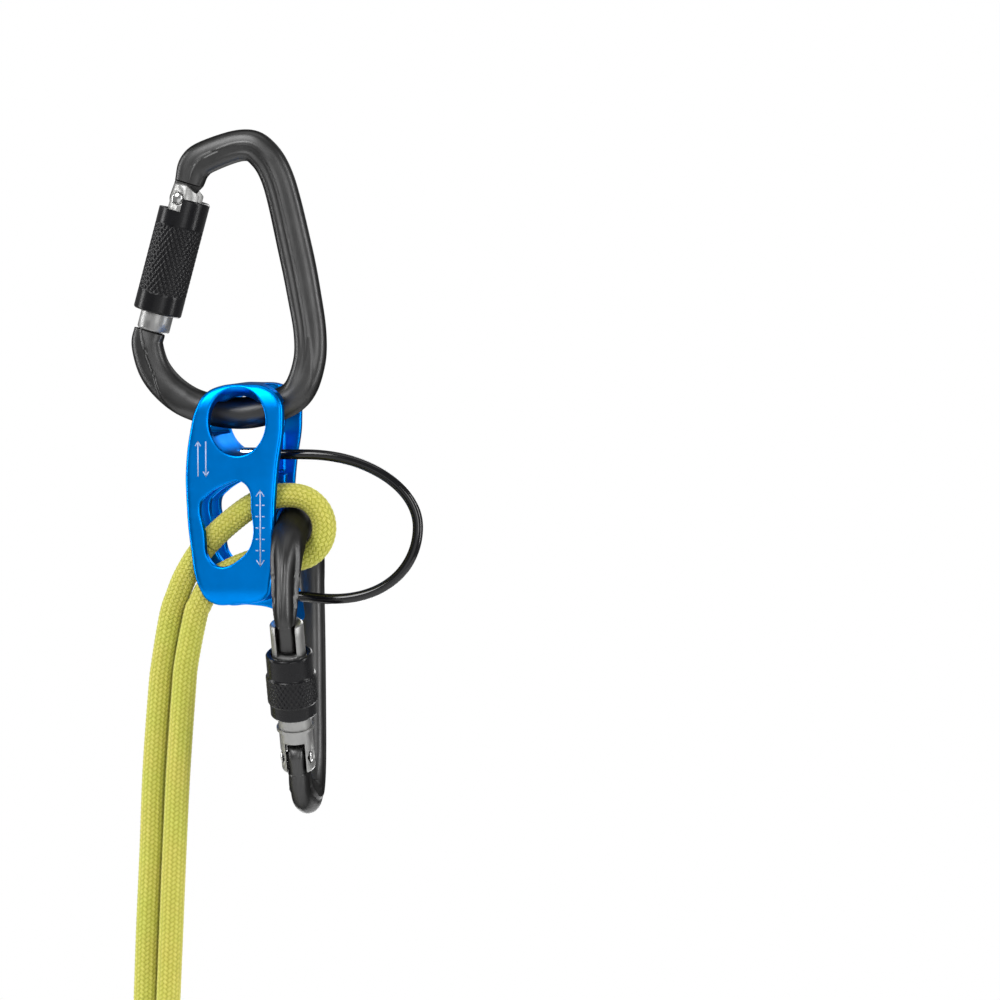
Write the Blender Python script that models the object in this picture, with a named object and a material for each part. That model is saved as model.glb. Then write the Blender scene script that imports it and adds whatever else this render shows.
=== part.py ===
"""Rope guide plate hung in a twist-lock carabiner, with a rope bight held by a screw-gate carabiner.

World frame: X right, Y away from the viewer, Z up. The origin is the point where the anchor
carabiner hangs. All sizes below are millimetres, and every mesh is written in metres.
"""
import bmesh
import bpy
from math import cos, pi, radians, sin, sqrt
from mathutils import Matrix, Vector

MM = 0.001
GAP = 0.3

# Pear frame of both carabiners, in the plane of the anchor carabiner (x, z).
GATE_FREE_END = Vector((-34.4, 0, -63.3))
GATE_HINGE = Vector((-21.1, 0, -14.6))
GATE_LENGTH = 50.5
PIVOT_OFFSET = -2.0
HINGE_EYE_RADIUS = 4.4
TONGUE_HALF = 3.0
SHOULDER_T = 57.0
LEDGE_T = -0.7
BAR_RADIUS = 6.0
SEAT_GAP = 1.3
BIGHT_GAP = 0.9
BAR_LOW = Vector((-0.8, 0, -94.1))
SHOULDER_SECTION = (5.5, 3.9, 0.0, 0.5, 0.2)
LEDGE_SECTION = (6.0, 3.5, 0.0, 0.4, -0.4)
# x, z, half width in the plane, half thickness, depth of the valley beside the inner bead,
# recess of the flat outer panel, and how far across the section (-1 outer, 1 inner) the panel ends
FRAME_STATIONS = [
    (-17.9, -2.2, 6.3, 4.3, 0.0, 0.9, 0.2), (-13.1, 1.5, 6.2, 4.7, 0.2, 1.0, 0.1),
    (0.0, 5.6, 5.9, 4.9, 0.4, 0.8, 0.0), (7.6, 3.3, 6.0, 4.9, 0.6, 0.6, 0.0),
    (14.3, -7.6, 6.1, 4.8, 0.8, 0.4, 0.0), (20.6, -33.0, 6.4, 4.8, 0.9, 0.3, 0.0),
    (24.0, -50.0, 6.3, 4.8, 0.9, 0.3, 0.0), (26.2, -64.4, 6.1, 4.8, 0.8, 0.4, 0.0),
    (25.7, -75.6, 6.0, 5.2, 0.4, 0.3, -0.3), (21.4, -86.2, 6.0, 5.8, 0.0, 0.0, -0.9),
    (12.6, -91.5, 6.0, 6.0, 0.0, 0.0, -0.9), (-0.8, -94.1, 6.0, 6.0, 0.0, 0.0, -0.9),
    (-16.0, -91.8, 6.0, 6.0, 0.0, 0.0, -0.9), (-26.0, -86.8, 6.1, 5.6, 0.0, 0.8, -0.6),
    (-33.4, -78.6, 6.1, 5.0, 0.0, 1.7, 0.1), (-36.5, -69.0, 6.0, 4.3, 0.0, 1.2, 0.0)]
VALLEY_PLACE = 0.3
VALLEY_REACH = 0.3
RIDGE_WIDTH = 0.2

# Gates, measured from the free end along the gate.
FORK_T = 44.5
FORK_END_T = 56.2
FORK_HEEL = [(52.4, 6.7), (56.5, -0.5), (60.0, -0.5), (60.0, 9.0), (52.4, 9.0)]
NOSE_SLOT_INNER = 3.2
SLOT_HALF = 3.5
RIVET_RADIUS = 1.85
RIVET_HEAD_RADIUS = 2.2
RIVET_HEAD_HEIGHT = 0.75
SPOT_FACE_DEPTH = 1.2
SPOT_FACE_RADIUS = 2.6
ANCHOR_GATE_RADIUS = 6.3
BRAKE_GATE_RADIUS = 5.85
ANCHOR_NOSE_REACH = 6.4
BRAKE_NOSE_REACH = 10.2
PLUNGER_RADIUS = 1.9
PLUNGER_SPAN = (40.0, 46.2)
BORE_RADIUS = 2.2
BORE_START_T = 24.0
SPRING_WIRE = 0.3
SPRING_TURNS = 7

ANCHOR_SLEEVE = dict(start=7.0, end=51.0, radius=9.1, bore=7.2)
SLEEVE_NOTCH_T = 46.0
STEP_INNER = 1.0
SCREW_SLEEVE = dict(start=11.4, end=34.9, radius=8.15, bore=6.2, band=8.8, band_from=19.8, band_to=29.4)
STOP_RING_T = 40.0
STOP_RING_WIRE = 0.5

# Belay plate
PLATE_DEPTH = 17.2
WALL = 3.8
SLOT_EDGE = 1.9
TUNNEL_HALF = PLATE_DEPTH - WALL
PLATE_OUTLINE = [
    (3.9, -82.9), (-4.6, -83.5), (-10.6, -86.6), (-14.0, -92.5), (-15.8, -99.5), (-17.6, -113.5),
    (-17.5, -125.7), (-16.0, -143.0), (-12.6, -159.0), (-8.6, -164.1), (2.0, -164.4), (13.2, -161.6),
    (15.2, -155.5), (16.4, -126.5), (17.4, -114.0), (19.5, -96.5), (18.4, -88.4), (13.0, -83.9)]
WINDOW_OUTLINE = [
    (2.7, -118.6), (6.6, -121.8), (7.3, -128.0), (7.3, -142.0), (2.3, -148.0), (-4.6, -150.6),
    (-8.6, -148.0), (-10.4, -138.0), (-11.9, -127.2), (-10.3, -124.9), (-0.8, -119.3)]
HORN_OUTLINE = [
    (-8.0, -161.0), (-6.0, -165.2), (3.2, -165.7), (11.8, -166.9), (15.4, -168.8), (17.2, -171.8),
    (19.8, -172.6), (20.2, -168.6), (16.6, -159.0)]
EYE_CENTRE = (2.1, -96.5)
EYE_HALF = (10.9, 12.8)
EYE_DEEP_CENTRE = (2.1, -98.0)
EYE_DEEP_HALF = (10.5, 10.6)
TUNNEL_Z = (-102.0, -89.5)
WEB_END_X = 12.6
WEB_END_HALF = TUNNEL_HALF + 0.1
WEB_Z = (-116.6, -101.6)
# The anchor bar lies in an arched groove, which opens out at both ends so that the plate can swing.
GROOVE_RADIUS = 7.3
GROOVE_DROP = 0.9
GROOVE_BEND = 50.0
GROOVE_FLARE = 0.0075
GROOVE_X = (-26, 30)
# Side view of both rope slots: their floor falls away to the left, where the strands leave.
SLOT_OUTLINE = [
    (-34, -116), (40, -116), (40, -152.6), (14, -152.6), (6.2, -154.8), (-2.0, -158.4), (-6.9, -162.6),
    (-9.9, -168), (-12, -176), (-34, -176)]

# Keeper cable
KEEPER_RADIUS = 1.95
KEEPER_TOP_Z = -109.4
KEEPER_LOW_Z = -162.6
KEEPER_REACH = 42.0
KEEPER_FROM_X = 25.0
KEEPER_SAG = 3.2
FERRULE_RADIUS = 2.5
FERRULE_X = (-0.6, 6.2)
WIRE_RADIUS = 0.9

# Brake carabiner and rope
BRAKE_BAR = Vector((21.2, -7.65, -136.1))
BRAKE_BAR_SHIFT = -9.65
BAR_BEND = 82.0
BRAKE_SCALE = 1.062
BRAKE_YAW = radians(4.5)
BRAKE_ROLL = radians(4.7)
BRAKE_LEAN = radians(-1.5)
ROPE_RADIUS = 4.6
ROPE_SPACING = 4.0
BIGHT_RADIUS = BAR_RADIUS * BRAKE_SCALE + ROPE_RADIUS + BIGHT_GAP
SLOT_Y = -7.65
CLIMBER_ROUTE = [
    (-11.6, -7.65, -142.6), (-15.6, -7.6, -147.4), (-18.5, -7.3, -151.9), (-21.0, -6.9, -156.4),
    (-23.2, -6.4, -161.6), (-26.0, -6.0, -169.6), (-29.2, -6.0, -187.4), (-30.6, -6.0, -199.3),
    (-32.9, -6.0, -228.9), (-34.2, -6.0, -258.5), (-35.7, -6.0, -288.0), (-36.9, -6.0, -318.0),
    (-37.3, -6.0, -328.0)]
BRAKE_UPPER = [(-11.2, -7.65, -142.1), (-4.0, -7.65, -135.4), (5.0, -7.65, -128.6), (13.0, -7.65, -125.1)]
BRAKE_LOWER = [
    (14.4, -7.65, -146.7), (4.0, -7.65, -149.7), (-5.0, -7.8, -153.8), (-11.0, -8.2, -159.0),
    (-14.4, -8.7, -165.4), (-16.0, -8.9, -169.6), (-19.5, -9.0, -187.0), (-20.7, -9.0, -199.0),
    (-22.9, -9.0, -228.7), (-24.5, -9.0, -258.0), (-25.9, -9.0, -288.0), (-27.3, -9.0, -318.0),
    (-27.7, -9.0, -328.0)]
END_CAP_RADIUS = 4.85
END_CAP_LENGTH = 16.0

COLOURS = {
    "titanium": ((0.075, 0.078, 0.082, 1), 0.38, 0.85), "gate": ((0.55, 0.55, 0.54, 1), 0.42, 0.9),
    "sleeve": ((0.012, 0.012, 0.013, 1), 0.45, 0.3), "steel": ((0.7, 0.7, 0.7, 1), 0.2, 1.0),
    "blue": ((0.0, 0.16, 0.7, 1), 0.35, 0.8), "cable": ((0.01, 0.01, 0.011, 1), 0.25, 0.0),
    "rope": ((0.6, 0.66, 0.09, 1), 0.85, 0.0), "cap": ((0.02, 0.02, 0.02, 1), 0.5, 0.0)}

AXIS = (GATE_HINGE - GATE_FREE_END).normalized()
INWARD = Vector((AXIS.z, 0, -AXIS.x))
NORMAL = Vector((0, 1, 0))


def on_gate(t, inward=0.0, depth=0.0):
    """Point in the carabiner's own frame, t along the gate from its free end."""
    return GATE_FREE_END + AXIS * t + INWARD * inward + NORMAL * depth


def clear_scene():
    for obj in list(bpy.data.objects):
        bpy.data.objects.remove(obj, do_unlink=True)


def collection(name):
    found = bpy.data.collections.new(name)
    bpy.context.scene.collection.children.link(found)
    return found


def material(key):
    found = bpy.data.materials.get(key)
    if found:
        return found
    colour, roughness, metallic = COLOURS[key]
    found = bpy.data.materials.new(key)
    found.use_nodes = True
    shader = found.node_tree.nodes["Principled BSDF"]
    shader.inputs["Base Color"].default_value = colour
    shader.inputs["Roughness"].default_value = roughness
    shader.inputs["Metallic"].default_value = metallic
    return found


def finish_mesh(name, bm, key, place=None, origin=None):
    """Turn a millimetre bmesh into an object in metres; a cutter has no material key."""
    bmesh.ops.recalc_face_normals(bm, faces=bm.faces)
    bmesh.ops.scale(bm, vec=(MM, MM, MM), verts=bm.verts)
    if place is not None:
        bmesh.ops.transform(bm, matrix=place, verts=bm.verts)
    origin = Vector((0, 0, 0)) if origin is None else Vector(origin)
    bmesh.ops.translate(bm, vec=-origin, verts=bm.verts)
    mesh = bpy.data.meshes.new(name)
    bm.to_mesh(mesh)
    bm.free()
    obj = bpy.data.objects.new(name, mesh)
    obj.location = origin
    if key is None:
        CUTTERS.objects.link(obj)
        obj.hide_render = True
        obj.display_type = "WIRE"
    else:
        PARTS.objects.link(obj)
        mesh.materials.append(material(key))
        mesh.shade_smooth()
        mesh.set_sharp_from_angle(angle=radians(35))
    return obj


def cut(obj, cutter, operation="DIFFERENCE"):
    step = obj.modifiers.new(cutter.name, "BOOLEAN")
    step.operation = operation
    step.solver = "EXACT"
    step.object = cutter
    return obj


def ring_loft(rings):
    """Closed skin through rings of equal point counts, with a flat cap on each end."""
    bm = bmesh.new()
    loops = [[bm.verts.new(point) for point in ring] for ring in rings]
    count = len(rings[0])
    for near, far in zip(loops, loops[1:]):
        for i in range(count):
            j = (i + 1) % count
            bm.faces.new((near[i], near[j], far[j], far[i]))
    bm.faces.new(loops[0][::-1])
    bm.faces.new(loops[-1])
    return bm


def box(low, high):
    bm = bmesh.new()
    size = Vector(high) - Vector(low)
    middle = (Vector(high) + Vector(low)) / 2
    bmesh.ops.create_cube(bm, size=1, matrix=Matrix.Translation(middle) @ Matrix.Diagonal(size.to_4d()))
    return bm


def frame_along(start, end):
    """Matrix with its Z from start to end and its origin at start."""
    direction = (Vector(end) - Vector(start)).normalized()
    return Matrix.Translation(start) @ direction.to_track_quat("Z", "Y").to_matrix().to_4x4()


def rod(start, end, radius, sides=24):
    bm = bmesh.new()
    length = (Vector(end) - Vector(start)).length
    place = frame_along(start, end) @ Matrix.Translation((0, 0, length / 2))
    bmesh.ops.create_cone(bm, cap_ends=True, segments=sides, radius1=radius, radius2=radius,
                          depth=length, matrix=place)
    return bm


def turned(start, end, profile, sides=28, closed=False):
    """Turn (distance, radius) points about the line; a closed profile makes a tube."""
    place = frame_along(start, end)
    bm = bmesh.new()
    rings = []
    for distance, radius in profile:
        turn = [2 * pi * i / sides for i in range(sides)]
        rings.append([bm.verts.new(place @ Vector((radius * cos(a), radius * sin(a), distance)))
                      for a in turn])
    pairs = list(zip(rings, rings[1:]))
    if closed:
        pairs.append((rings[-1], rings[0]))
    for near, far in pairs:
        for i in range(sides):
            j = (i + 1) % sides
            bm.faces.new((near[i], near[j], far[j], far[i]))
    if not closed:
        bm.faces.new(rings[0][::-1])
        bm.faces.new(rings[-1])
    return bm


def smooth_route(points, count):
    """Catmull-Rom curve through points of any width, resampled at even distances."""
    padded = [[2 * a - b for a, b in zip(points[0], points[1])], *points,
              [2 * a - b for a, b in zip(points[-1], points[-2])]]
    fine = []
    for before, start, end, after in zip(padded, padded[1:], padded[2:], padded[3:]):
        for step in range(24):
            t = step / 24
            fine.append([0.5 * (2 * b + (c - a) * t + (2 * a - 5 * b + 4 * c - d) * t * t
                                + (3 * b - a - 3 * c + d) * t ** 3)
                         for a, b, c, d in zip(before, start, end, after)])
    fine.append(list(points[-1]))
    travelled = [0.0]
    for near, far in zip(fine, fine[1:]):
        travelled.append(travelled[-1] + sqrt(sum((p - q) ** 2 for p, q in zip(near[:3], far[:3]))))
    even = []
    index = 0
    for step in range(count):
        target = travelled[-1] * step / (count - 1)
        while index < len(fine) - 2 and travelled[index + 1] < target:
            index += 1
        span = travelled[index + 1] - travelled[index]
        t = (target - travelled[index]) / span
        even.append([p + (q - p) * t for p, q in zip(fine[index], fine[index + 1])])
    return even


def tube(name, points, radius, key, resolution=2, keep=True):
    """Round tube along points in millimetres: a curve, made a mesh with welded caps."""
    curve = bpy.data.curves.new(name + "_curve", "CURVE")
    curve.dimensions = "3D"
    curve.bevel_depth = radius * MM
    curve.bevel_resolution = resolution
    curve.use_fill_caps = True
    spline = curve.splines.new("POLY")
    spline.points.add(len(points) - 1)
    for slot, point in zip(spline.points, points):
        slot.co = (point[0] * MM, point[1] * MM, point[2] * MM, 1)
    guide = bpy.data.objects.new(name + "_curve", curve)
    bpy.context.scene.collection.objects.link(guide)
    graph = bpy.context.evaluated_depsgraph_get()
    mesh = bpy.data.meshes.new_from_object(guide.evaluated_get(graph))
    bpy.data.objects.remove(guide, do_unlink=True)
    bm = bmesh.new()
    bm.from_mesh(mesh)
    bmesh.ops.remove_doubles(bm, verts=bm.verts, dist=1e-6)
    bmesh.ops.scale(bm, vec=(1 / MM, 1 / MM, 1 / MM), verts=bm.verts)
    return finish_mesh(name, bm, key if keep else None)


def coil(start, end, radius, turns, points_per_turn=9):
    place = frame_along(start, end)
    length = (Vector(end) - Vector(start)).length
    total = turns * points_per_turn
    return [place @ Vector((radius * cos(2 * pi * i / points_per_turn),
                            radius * sin(2 * pi * i / points_per_turn), length * i / total))
            for i in range(total + 1)]


def section(centre, side, half_width, half_depth, valley=0.0, recess=0.0, ridge=0.0, count=20,
            squareness=2.5):
    """Rounded-oblong ring with, on both faces, a valley beside the inner bead and a sunk outer panel."""
    points = []
    for i in range(count):
        turn = 2 * pi * i / count
        u = abs(cos(turn)) ** (2 / squareness) * (1 if cos(turn) >= 0 else -1)
        v = half_depth * abs(sin(turn)) ** (2 / squareness)
        across = min(1.0, abs(u - VALLEY_PLACE) / VALLEY_REACH)
        sunk = max(0.0, min(1.0, (ridge - u) / RIDGE_WIDTH))
        loss = valley * (1 - across ** 2) ** 2 + recess * sunk * sunk * (3 - 2 * sunk)
        v = max(v - loss, v * 0.35) * (1 if sin(turn) >= 0 else -1)
        points.append(centre + side * (u * half_width) + NORMAL * v)
    return points


def frame_body(name, nose_reach, place):
    """Forged pear frame: hinge tongue, grooved spine, round bar and nose tongue."""
    rings = []
    for turn in (15, 35, 60, 90):
        centre = on_gate(GATE_LENGTH - HINGE_EYE_RADIUS * cos(radians(turn)), PIVOT_OFFSET)
        rings.append(section(centre, INWARD, HINGE_EYE_RADIUS * sin(radians(turn)), TONGUE_HALF))
    rings.append(section(on_gate(54.0, -1.4), INWARD, 4.7, TONGUE_HALF))
    rings.append(section(on_gate(SHOULDER_T - 0.1, -0.6), INWARD, 5.3, TONGUE_HALF))
    start = on_gate(SHOULDER_T, -0.6)
    end = on_gate(LEDGE_T, -1.0)
    stations = [(start.x, 0, start.z, *SHOULDER_SECTION)]
    stations += [(x, 0, z, *form) for x, z, *form in FRAME_STATIONS]
    stations += [(end.x, 0, end.z, *LEDGE_SECTION)]
    route = smooth_route(stations, 58)
    for index, station in enumerate(route):
        ahead = Vector(route[min(index + 1, len(route) - 1)][:3])
        behind = Vector(route[max(index - 1, 0)][:3])
        tangent = (ahead - behind).normalized()
        side = Vector((tangent.z, 0, -tangent.x))
        half_width, half_depth, valley, recess, ridge = station[3:]
        valley, recess = max(valley, 0), max(recess, 0)
        squareness = 2 + min(0.6, abs(half_width - half_depth) + valley + recess)
        rings.append(section(Vector(station[:3]), side, half_width, half_depth, valley, recess, ridge,
                             squareness=squareness))
    rings.append(section(on_gate(LEDGE_T + 0.1, -1.2), INWARD, 3.8, TONGUE_HALF))
    rings.append(section(on_gate(nose_reach - 1.2, -1.2), INWARD, 3.8, TONGUE_HALF))
    rings.append(section(on_gate(nose_reach - 0.3, -1.2), INWARD, 3.2, TONGUE_HALF - 0.5))
    rings.append(section(on_gate(nose_reach, -1.2), INWARD, 2.2, TONGUE_HALF - 1.2))
    body = finish_mesh(name, ring_loft(rings), "titanium", place)
    pivot = on_gate(GATE_LENGTH, PIVOT_OFFSET)
    hole = rod(pivot - NORMAL * 9, pivot + NORMAL * 9, RIVET_RADIUS + GAP, 20)
    return cut(body, finish_mesh(name + "_rivet_hole", hole, None, place))


def gate(name, radius, nose_reach, place):
    """Round gate, forked at the hinge, slotted for the nose and bored for its spring."""
    profile = [(0, radius - 0.8), (0.6, radius), (FORK_END_T - 0.8, radius), (FORK_END_T, radius - 0.8)]
    body = finish_mesh(name, turned(on_gate(0), on_gate(FORK_END_T), profile), "gate", place)
    pivot = on_gate(GATE_LENGTH, PIVOT_OFFSET)
    hole = rod(pivot - NORMAL * 9, pivot + NORMAL * 9, RIVET_RADIUS + GAP, 20)
    cut(body, finish_mesh(name + "_rivet_hole", hole, None, place))
    for label, face in (("_front_spot", -1), ("_back_spot", 1)):
        depth = face * (radius - SPOT_FACE_DEPTH)
        spot = rod(pivot + NORMAL * depth, pivot + NORMAL * face * 9, SPOT_FACE_RADIUS, 20)
        cut(body, finish_mesh(name + label, spot, None, place))
    slots = (("_fork", FORK_T, 60.0, 9.0), ("_nose", -3.0, nose_reach + 0.8, NOSE_SLOT_INNER))
    for label, low_t, high_t, inner in slots:
        rings = [[on_gate(t, u, v) for u, v in ((-9, -SLOT_HALF), (inner, -SLOT_HALF), (inner, SLOT_HALF),
                                                (-9, SLOT_HALF))] for t in (low_t, high_t)]
        cut(body, finish_mesh(name + label, ring_loft(rings), None, place))
    heel = ring_loft([[on_gate(t, u, v) for t, u in FORK_HEEL] for v in (-9, 9)])
    cut(body, finish_mesh(name + "_heel", heel, None, place))
    bore = rod(on_gate(BORE_START_T), on_gate(FORK_T + 2), BORE_RADIUS, 16)
    return cut(body, finish_mesh(name + "_bore", bore, None, place))


def rivet(name, gate_radius, place):
    pivot = on_gate(GATE_LENGTH, PIVOT_OFFSET)
    head = RIVET_HEAD_HEIGHT
    half = gate_radius - SPOT_FACE_DEPTH + GAP + head
    dome = [(0, RIVET_HEAD_RADIUS - 1.0), (head / 2, RIVET_HEAD_RADIUS - 0.2), (head, RIVET_HEAD_RADIUS),
            (head, RIVET_RADIUS)]
    profile = dome + [(2 * half - distance, radius) for distance, radius in dome[::-1]]
    pin = turned(pivot - NORMAL * half, pivot + NORMAL * half, profile, 20)
    return finish_mesh(name, pin, "steel", place)


def plunger_and_spring(prefix, place):
    low, high = PLUNGER_SPAN
    profile = [(0, PLUNGER_RADIUS), (high - low - 0.8, PLUNGER_RADIUS), (high - low, PLUNGER_RADIUS - 0.9)]
    finish_mesh(prefix + "_plunger", turned(on_gate(low), on_gate(high), profile, 16), "steel", place)
    wire = coil(on_gate(BORE_START_T + 0.7), on_gate(low - 0.7), 1.5, SPRING_TURNS)
    if place is not None:
        wire = [(place @ (point * MM)) / MM for point in wire]
    tube(prefix + "_spring", wire, SPRING_WIRE, "steel", 1)


def anchor_sleeve():
    """Twist-lock sleeve with a step in its hinge end, and its return spring and bush."""
    s = ANCHOR_SLEEVE
    length = s["end"] - s["start"]
    profile = [(0, s["bore"]), (0, s["radius"] - 0.5), (0.5, s["radius"]), (length - 0.5, s["radius"]),
               (length, s["radius"] - 0.5), (length, s["bore"])]
    sleeve = turned(on_gate(s["start"]), on_gate(s["end"]), profile, 36, closed=True)
    body = finish_mesh("anchor_sleeve", sleeve, "sleeve", origin=on_gate(s["start"]) * MM)
    rings = [[on_gate(t, u, v) for u, v in ((-12, -12), (STEP_INNER, -12), (STEP_INNER, 12), (-12, 12))]
             for t in (SLEEVE_NOTCH_T, 56.0)]
    cut(body, finish_mesh("anchor_sleeve_step", ring_loft(rings), None))


def ring_on_gate(name, start, end, inner, outer, key, place=None, sides=28):
    profile = [(0, inner), (0, outer), (end - start, outer), (end - start, inner)]
    return finish_mesh(name, turned(on_gate(start), on_gate(end), profile, sides, closed=True), key, place)


def screw_sleeve(place):
    s = SCREW_SLEEVE
    start, end = s["start"], s["end"]
    profile = [(0, s["bore"]), (0, s["radius"] - 0.6), (0.6, s["radius"]),
               (s["band_from"] - start - 0.4, s["radius"]), (s["band_from"] - start, s["band"]),
               (s["band_to"] - start, s["band"]), (s["band_to"] - start + 0.4, s["radius"]),
               (end - start - 0.6, s["radius"]), (end - start, s["radius"] - 0.6),
               (end - start, s["bore"])]
    sleeve = turned(on_gate(start), on_gate(end), profile, 36, closed=True)
    return finish_mesh("screw_sleeve", sleeve, "sleeve", place)


def outline_prism(points, front, back, resolution=4):
    """Smooth closed outline in (x, z), as a solid from the front depth to the back depth."""
    curve = bpy.data.curves.new("outline", "CURVE")
    curve.dimensions = "2D"
    curve.fill_mode = "BOTH"
    curve.extrude = (back - front) / 2
    curve.resolution_u = resolution
    spline = curve.splines.new("BEZIER")
    spline.bezier_points.add(len(points) - 1)
    for knot, (x, z) in zip(spline.bezier_points, points):
        knot.co = (x, z, 0)
        knot.handle_left_type = knot.handle_right_type = "AUTO"
    spline.use_cyclic_u = True
    guide = bpy.data.objects.new("outline", curve)
    bpy.context.scene.collection.objects.link(guide)
    graph = bpy.context.evaluated_depsgraph_get()
    mesh = bpy.data.meshes.new_from_object(guide.evaluated_get(graph))
    bpy.data.objects.remove(guide, do_unlink=True)
    bm = bmesh.new()
    bm.from_mesh(mesh)
    bmesh.ops.remove_doubles(bm, verts=bm.verts, dist=1e-4)
    upright = Matrix.Translation((0, (front + back) / 2, 0)) @ Matrix.Rotation(pi / 2, 4, "X")
    bmesh.ops.transform(bm, matrix=upright, verts=bm.verts)
    return bm


def groove_rings(count=28):
    """Trumpet-ended tube along the anchor bar, its radius growing away from the bar's lowest point."""
    rings = []
    for x in range(GROOVE_X[0], GROOVE_X[1] + 1, 2):
        away = x - BAR_LOW.x
        centre = Vector((x, 0, BAR_LOW.z - GROOVE_DROP + away ** 2 / GROOVE_BEND))
        across = Vector((-2 * away / GROOVE_BEND, 0, 1)).normalized()
        radius = GROOVE_RADIUS + GROOVE_FLARE * away ** 2
        turns = (2 * pi * i / count for i in range(count))
        rings.append([centre + (NORMAL * cos(turn) + across * sin(turn)) * radius for turn in turns])
    return rings


def eye_cutter(count=40):
    """Oval through both faces, wide at each face and drawn down towards the middle."""
    rings = []
    face = PLATE_DEPTH - 0.4
    deep = TUNNEL_HALF - 3.0
    for y, centre, half in ((-PLATE_DEPTH - 1, EYE_CENTRE, EYE_HALF), (-face, EYE_CENTRE, EYE_HALF),
                            (-deep, EYE_DEEP_CENTRE, EYE_DEEP_HALF), (deep, EYE_DEEP_CENTRE, EYE_DEEP_HALF),
                            (face, EYE_CENTRE, EYE_HALF), (PLATE_DEPTH + 1, EYE_CENTRE, EYE_HALF)):
        turn = [2 * pi * i / count for i in range(count)]
        rings.append([Vector((centre[0] + half[0] * cos(a), y, centre[1] + half[1] * sin(a)))
                      for a in turn])
    return ring_loft(rings)


def belay_plate():
    """Three walls round two rope slots, with an arched tunnel for the anchor bar on top."""
    body = finish_mesh("belay_plate", outline_prism(PLATE_OUTLINE, -PLATE_DEPTH, PLATE_DEPTH), "blue")
    horn = finish_mesh("horn", outline_prism(HORN_OUTLINE, -4.5, PLATE_DEPTH - 0.8, 2), None)
    cut(body, horn, "UNION")
    cut(body, finish_mesh("bar_groove", ring_loft(groove_rings()), None))
    tunnel = box((-30, -TUNNEL_HALF, TUNNEL_Z[0]), (40, TUNNEL_HALF, TUNNEL_Z[1]))
    cut(body, finish_mesh("tunnel", tunnel, None))
    web_end = box((WEB_END_X, -WEB_END_HALF, WEB_Z[0]), (40, WEB_END_HALF, WEB_Z[1]))
    cut(body, finish_mesh("web_end", web_end, None))
    cut(body, finish_mesh("eye", eye_cutter(), None))
    slots = (("front_slot", -TUNNEL_HALF, -SLOT_EDGE), ("back_slot", SLOT_EDGE, TUNNEL_HALF))
    for label, low, high in slots:
        sides = [[Vector((x, y, z)) for x, z in SLOT_OUTLINE] for y in (low, high)]
        cut(body, finish_mesh(label, ring_loft(sides), None))
    window = outline_prism(WINDOW_OUTLINE, -PLATE_DEPTH - 2, PLATE_DEPTH + 2, 3)
    cut(body, finish_mesh("window", window, None))
    for label, z in (("upper", KEEPER_TOP_Z), ("lower", KEEPER_LOW_Z)):
        hole = rod((FERRULE_X[1] - 1, 0, z), (30, 0, z), KEEPER_RADIUS + GAP, 20)
        cut(body, finish_mesh(label + "_keeper_hole", hole, None))
        pocket = rod((FERRULE_X[0] - 0.6, 0, z), (FERRULE_X[1] + 0.4, 0, z), FERRULE_RADIUS + GAP, 20)
        cut(body, finish_mesh(label + "_ferrule_pocket", pocket, None))
    seat = [brake_place() @ (bar_point(shift) * MM) / MM for shift in range(-28, 29, 4)]
    return cut(body, tube("bar_seat", seat, BAR_RADIUS * BRAKE_SCALE + SEAT_GAP, None, 5, keep=False))


def bar_point(shift):
    """Centre of the round bar at a distance along it from its lowest point."""
    return BAR_LOW + Vector((shift, 0, shift * shift / BAR_BEND))


def brake_place():
    """Carries the pear frame upside down and edge on, its bar inside the rope's bight."""
    turned_over = Matrix(((0, 1, 0), (1, 0, 0), (0, 0, -1))).to_4x4()
    turn = (Matrix.Rotation(BRAKE_YAW, 4, "Z") @ Matrix.Rotation(BRAKE_LEAN, 4, "Y")
            @ Matrix.Rotation(BRAKE_ROLL, 4, "X") @ turned_over)
    return (Matrix.Translation(BRAKE_BAR * MM) @ turn @ Matrix.Scale(BRAKE_SCALE, 4)
            @ Matrix.Translation(-bar_point(BRAKE_BAR_SHIFT) * MM))


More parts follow.
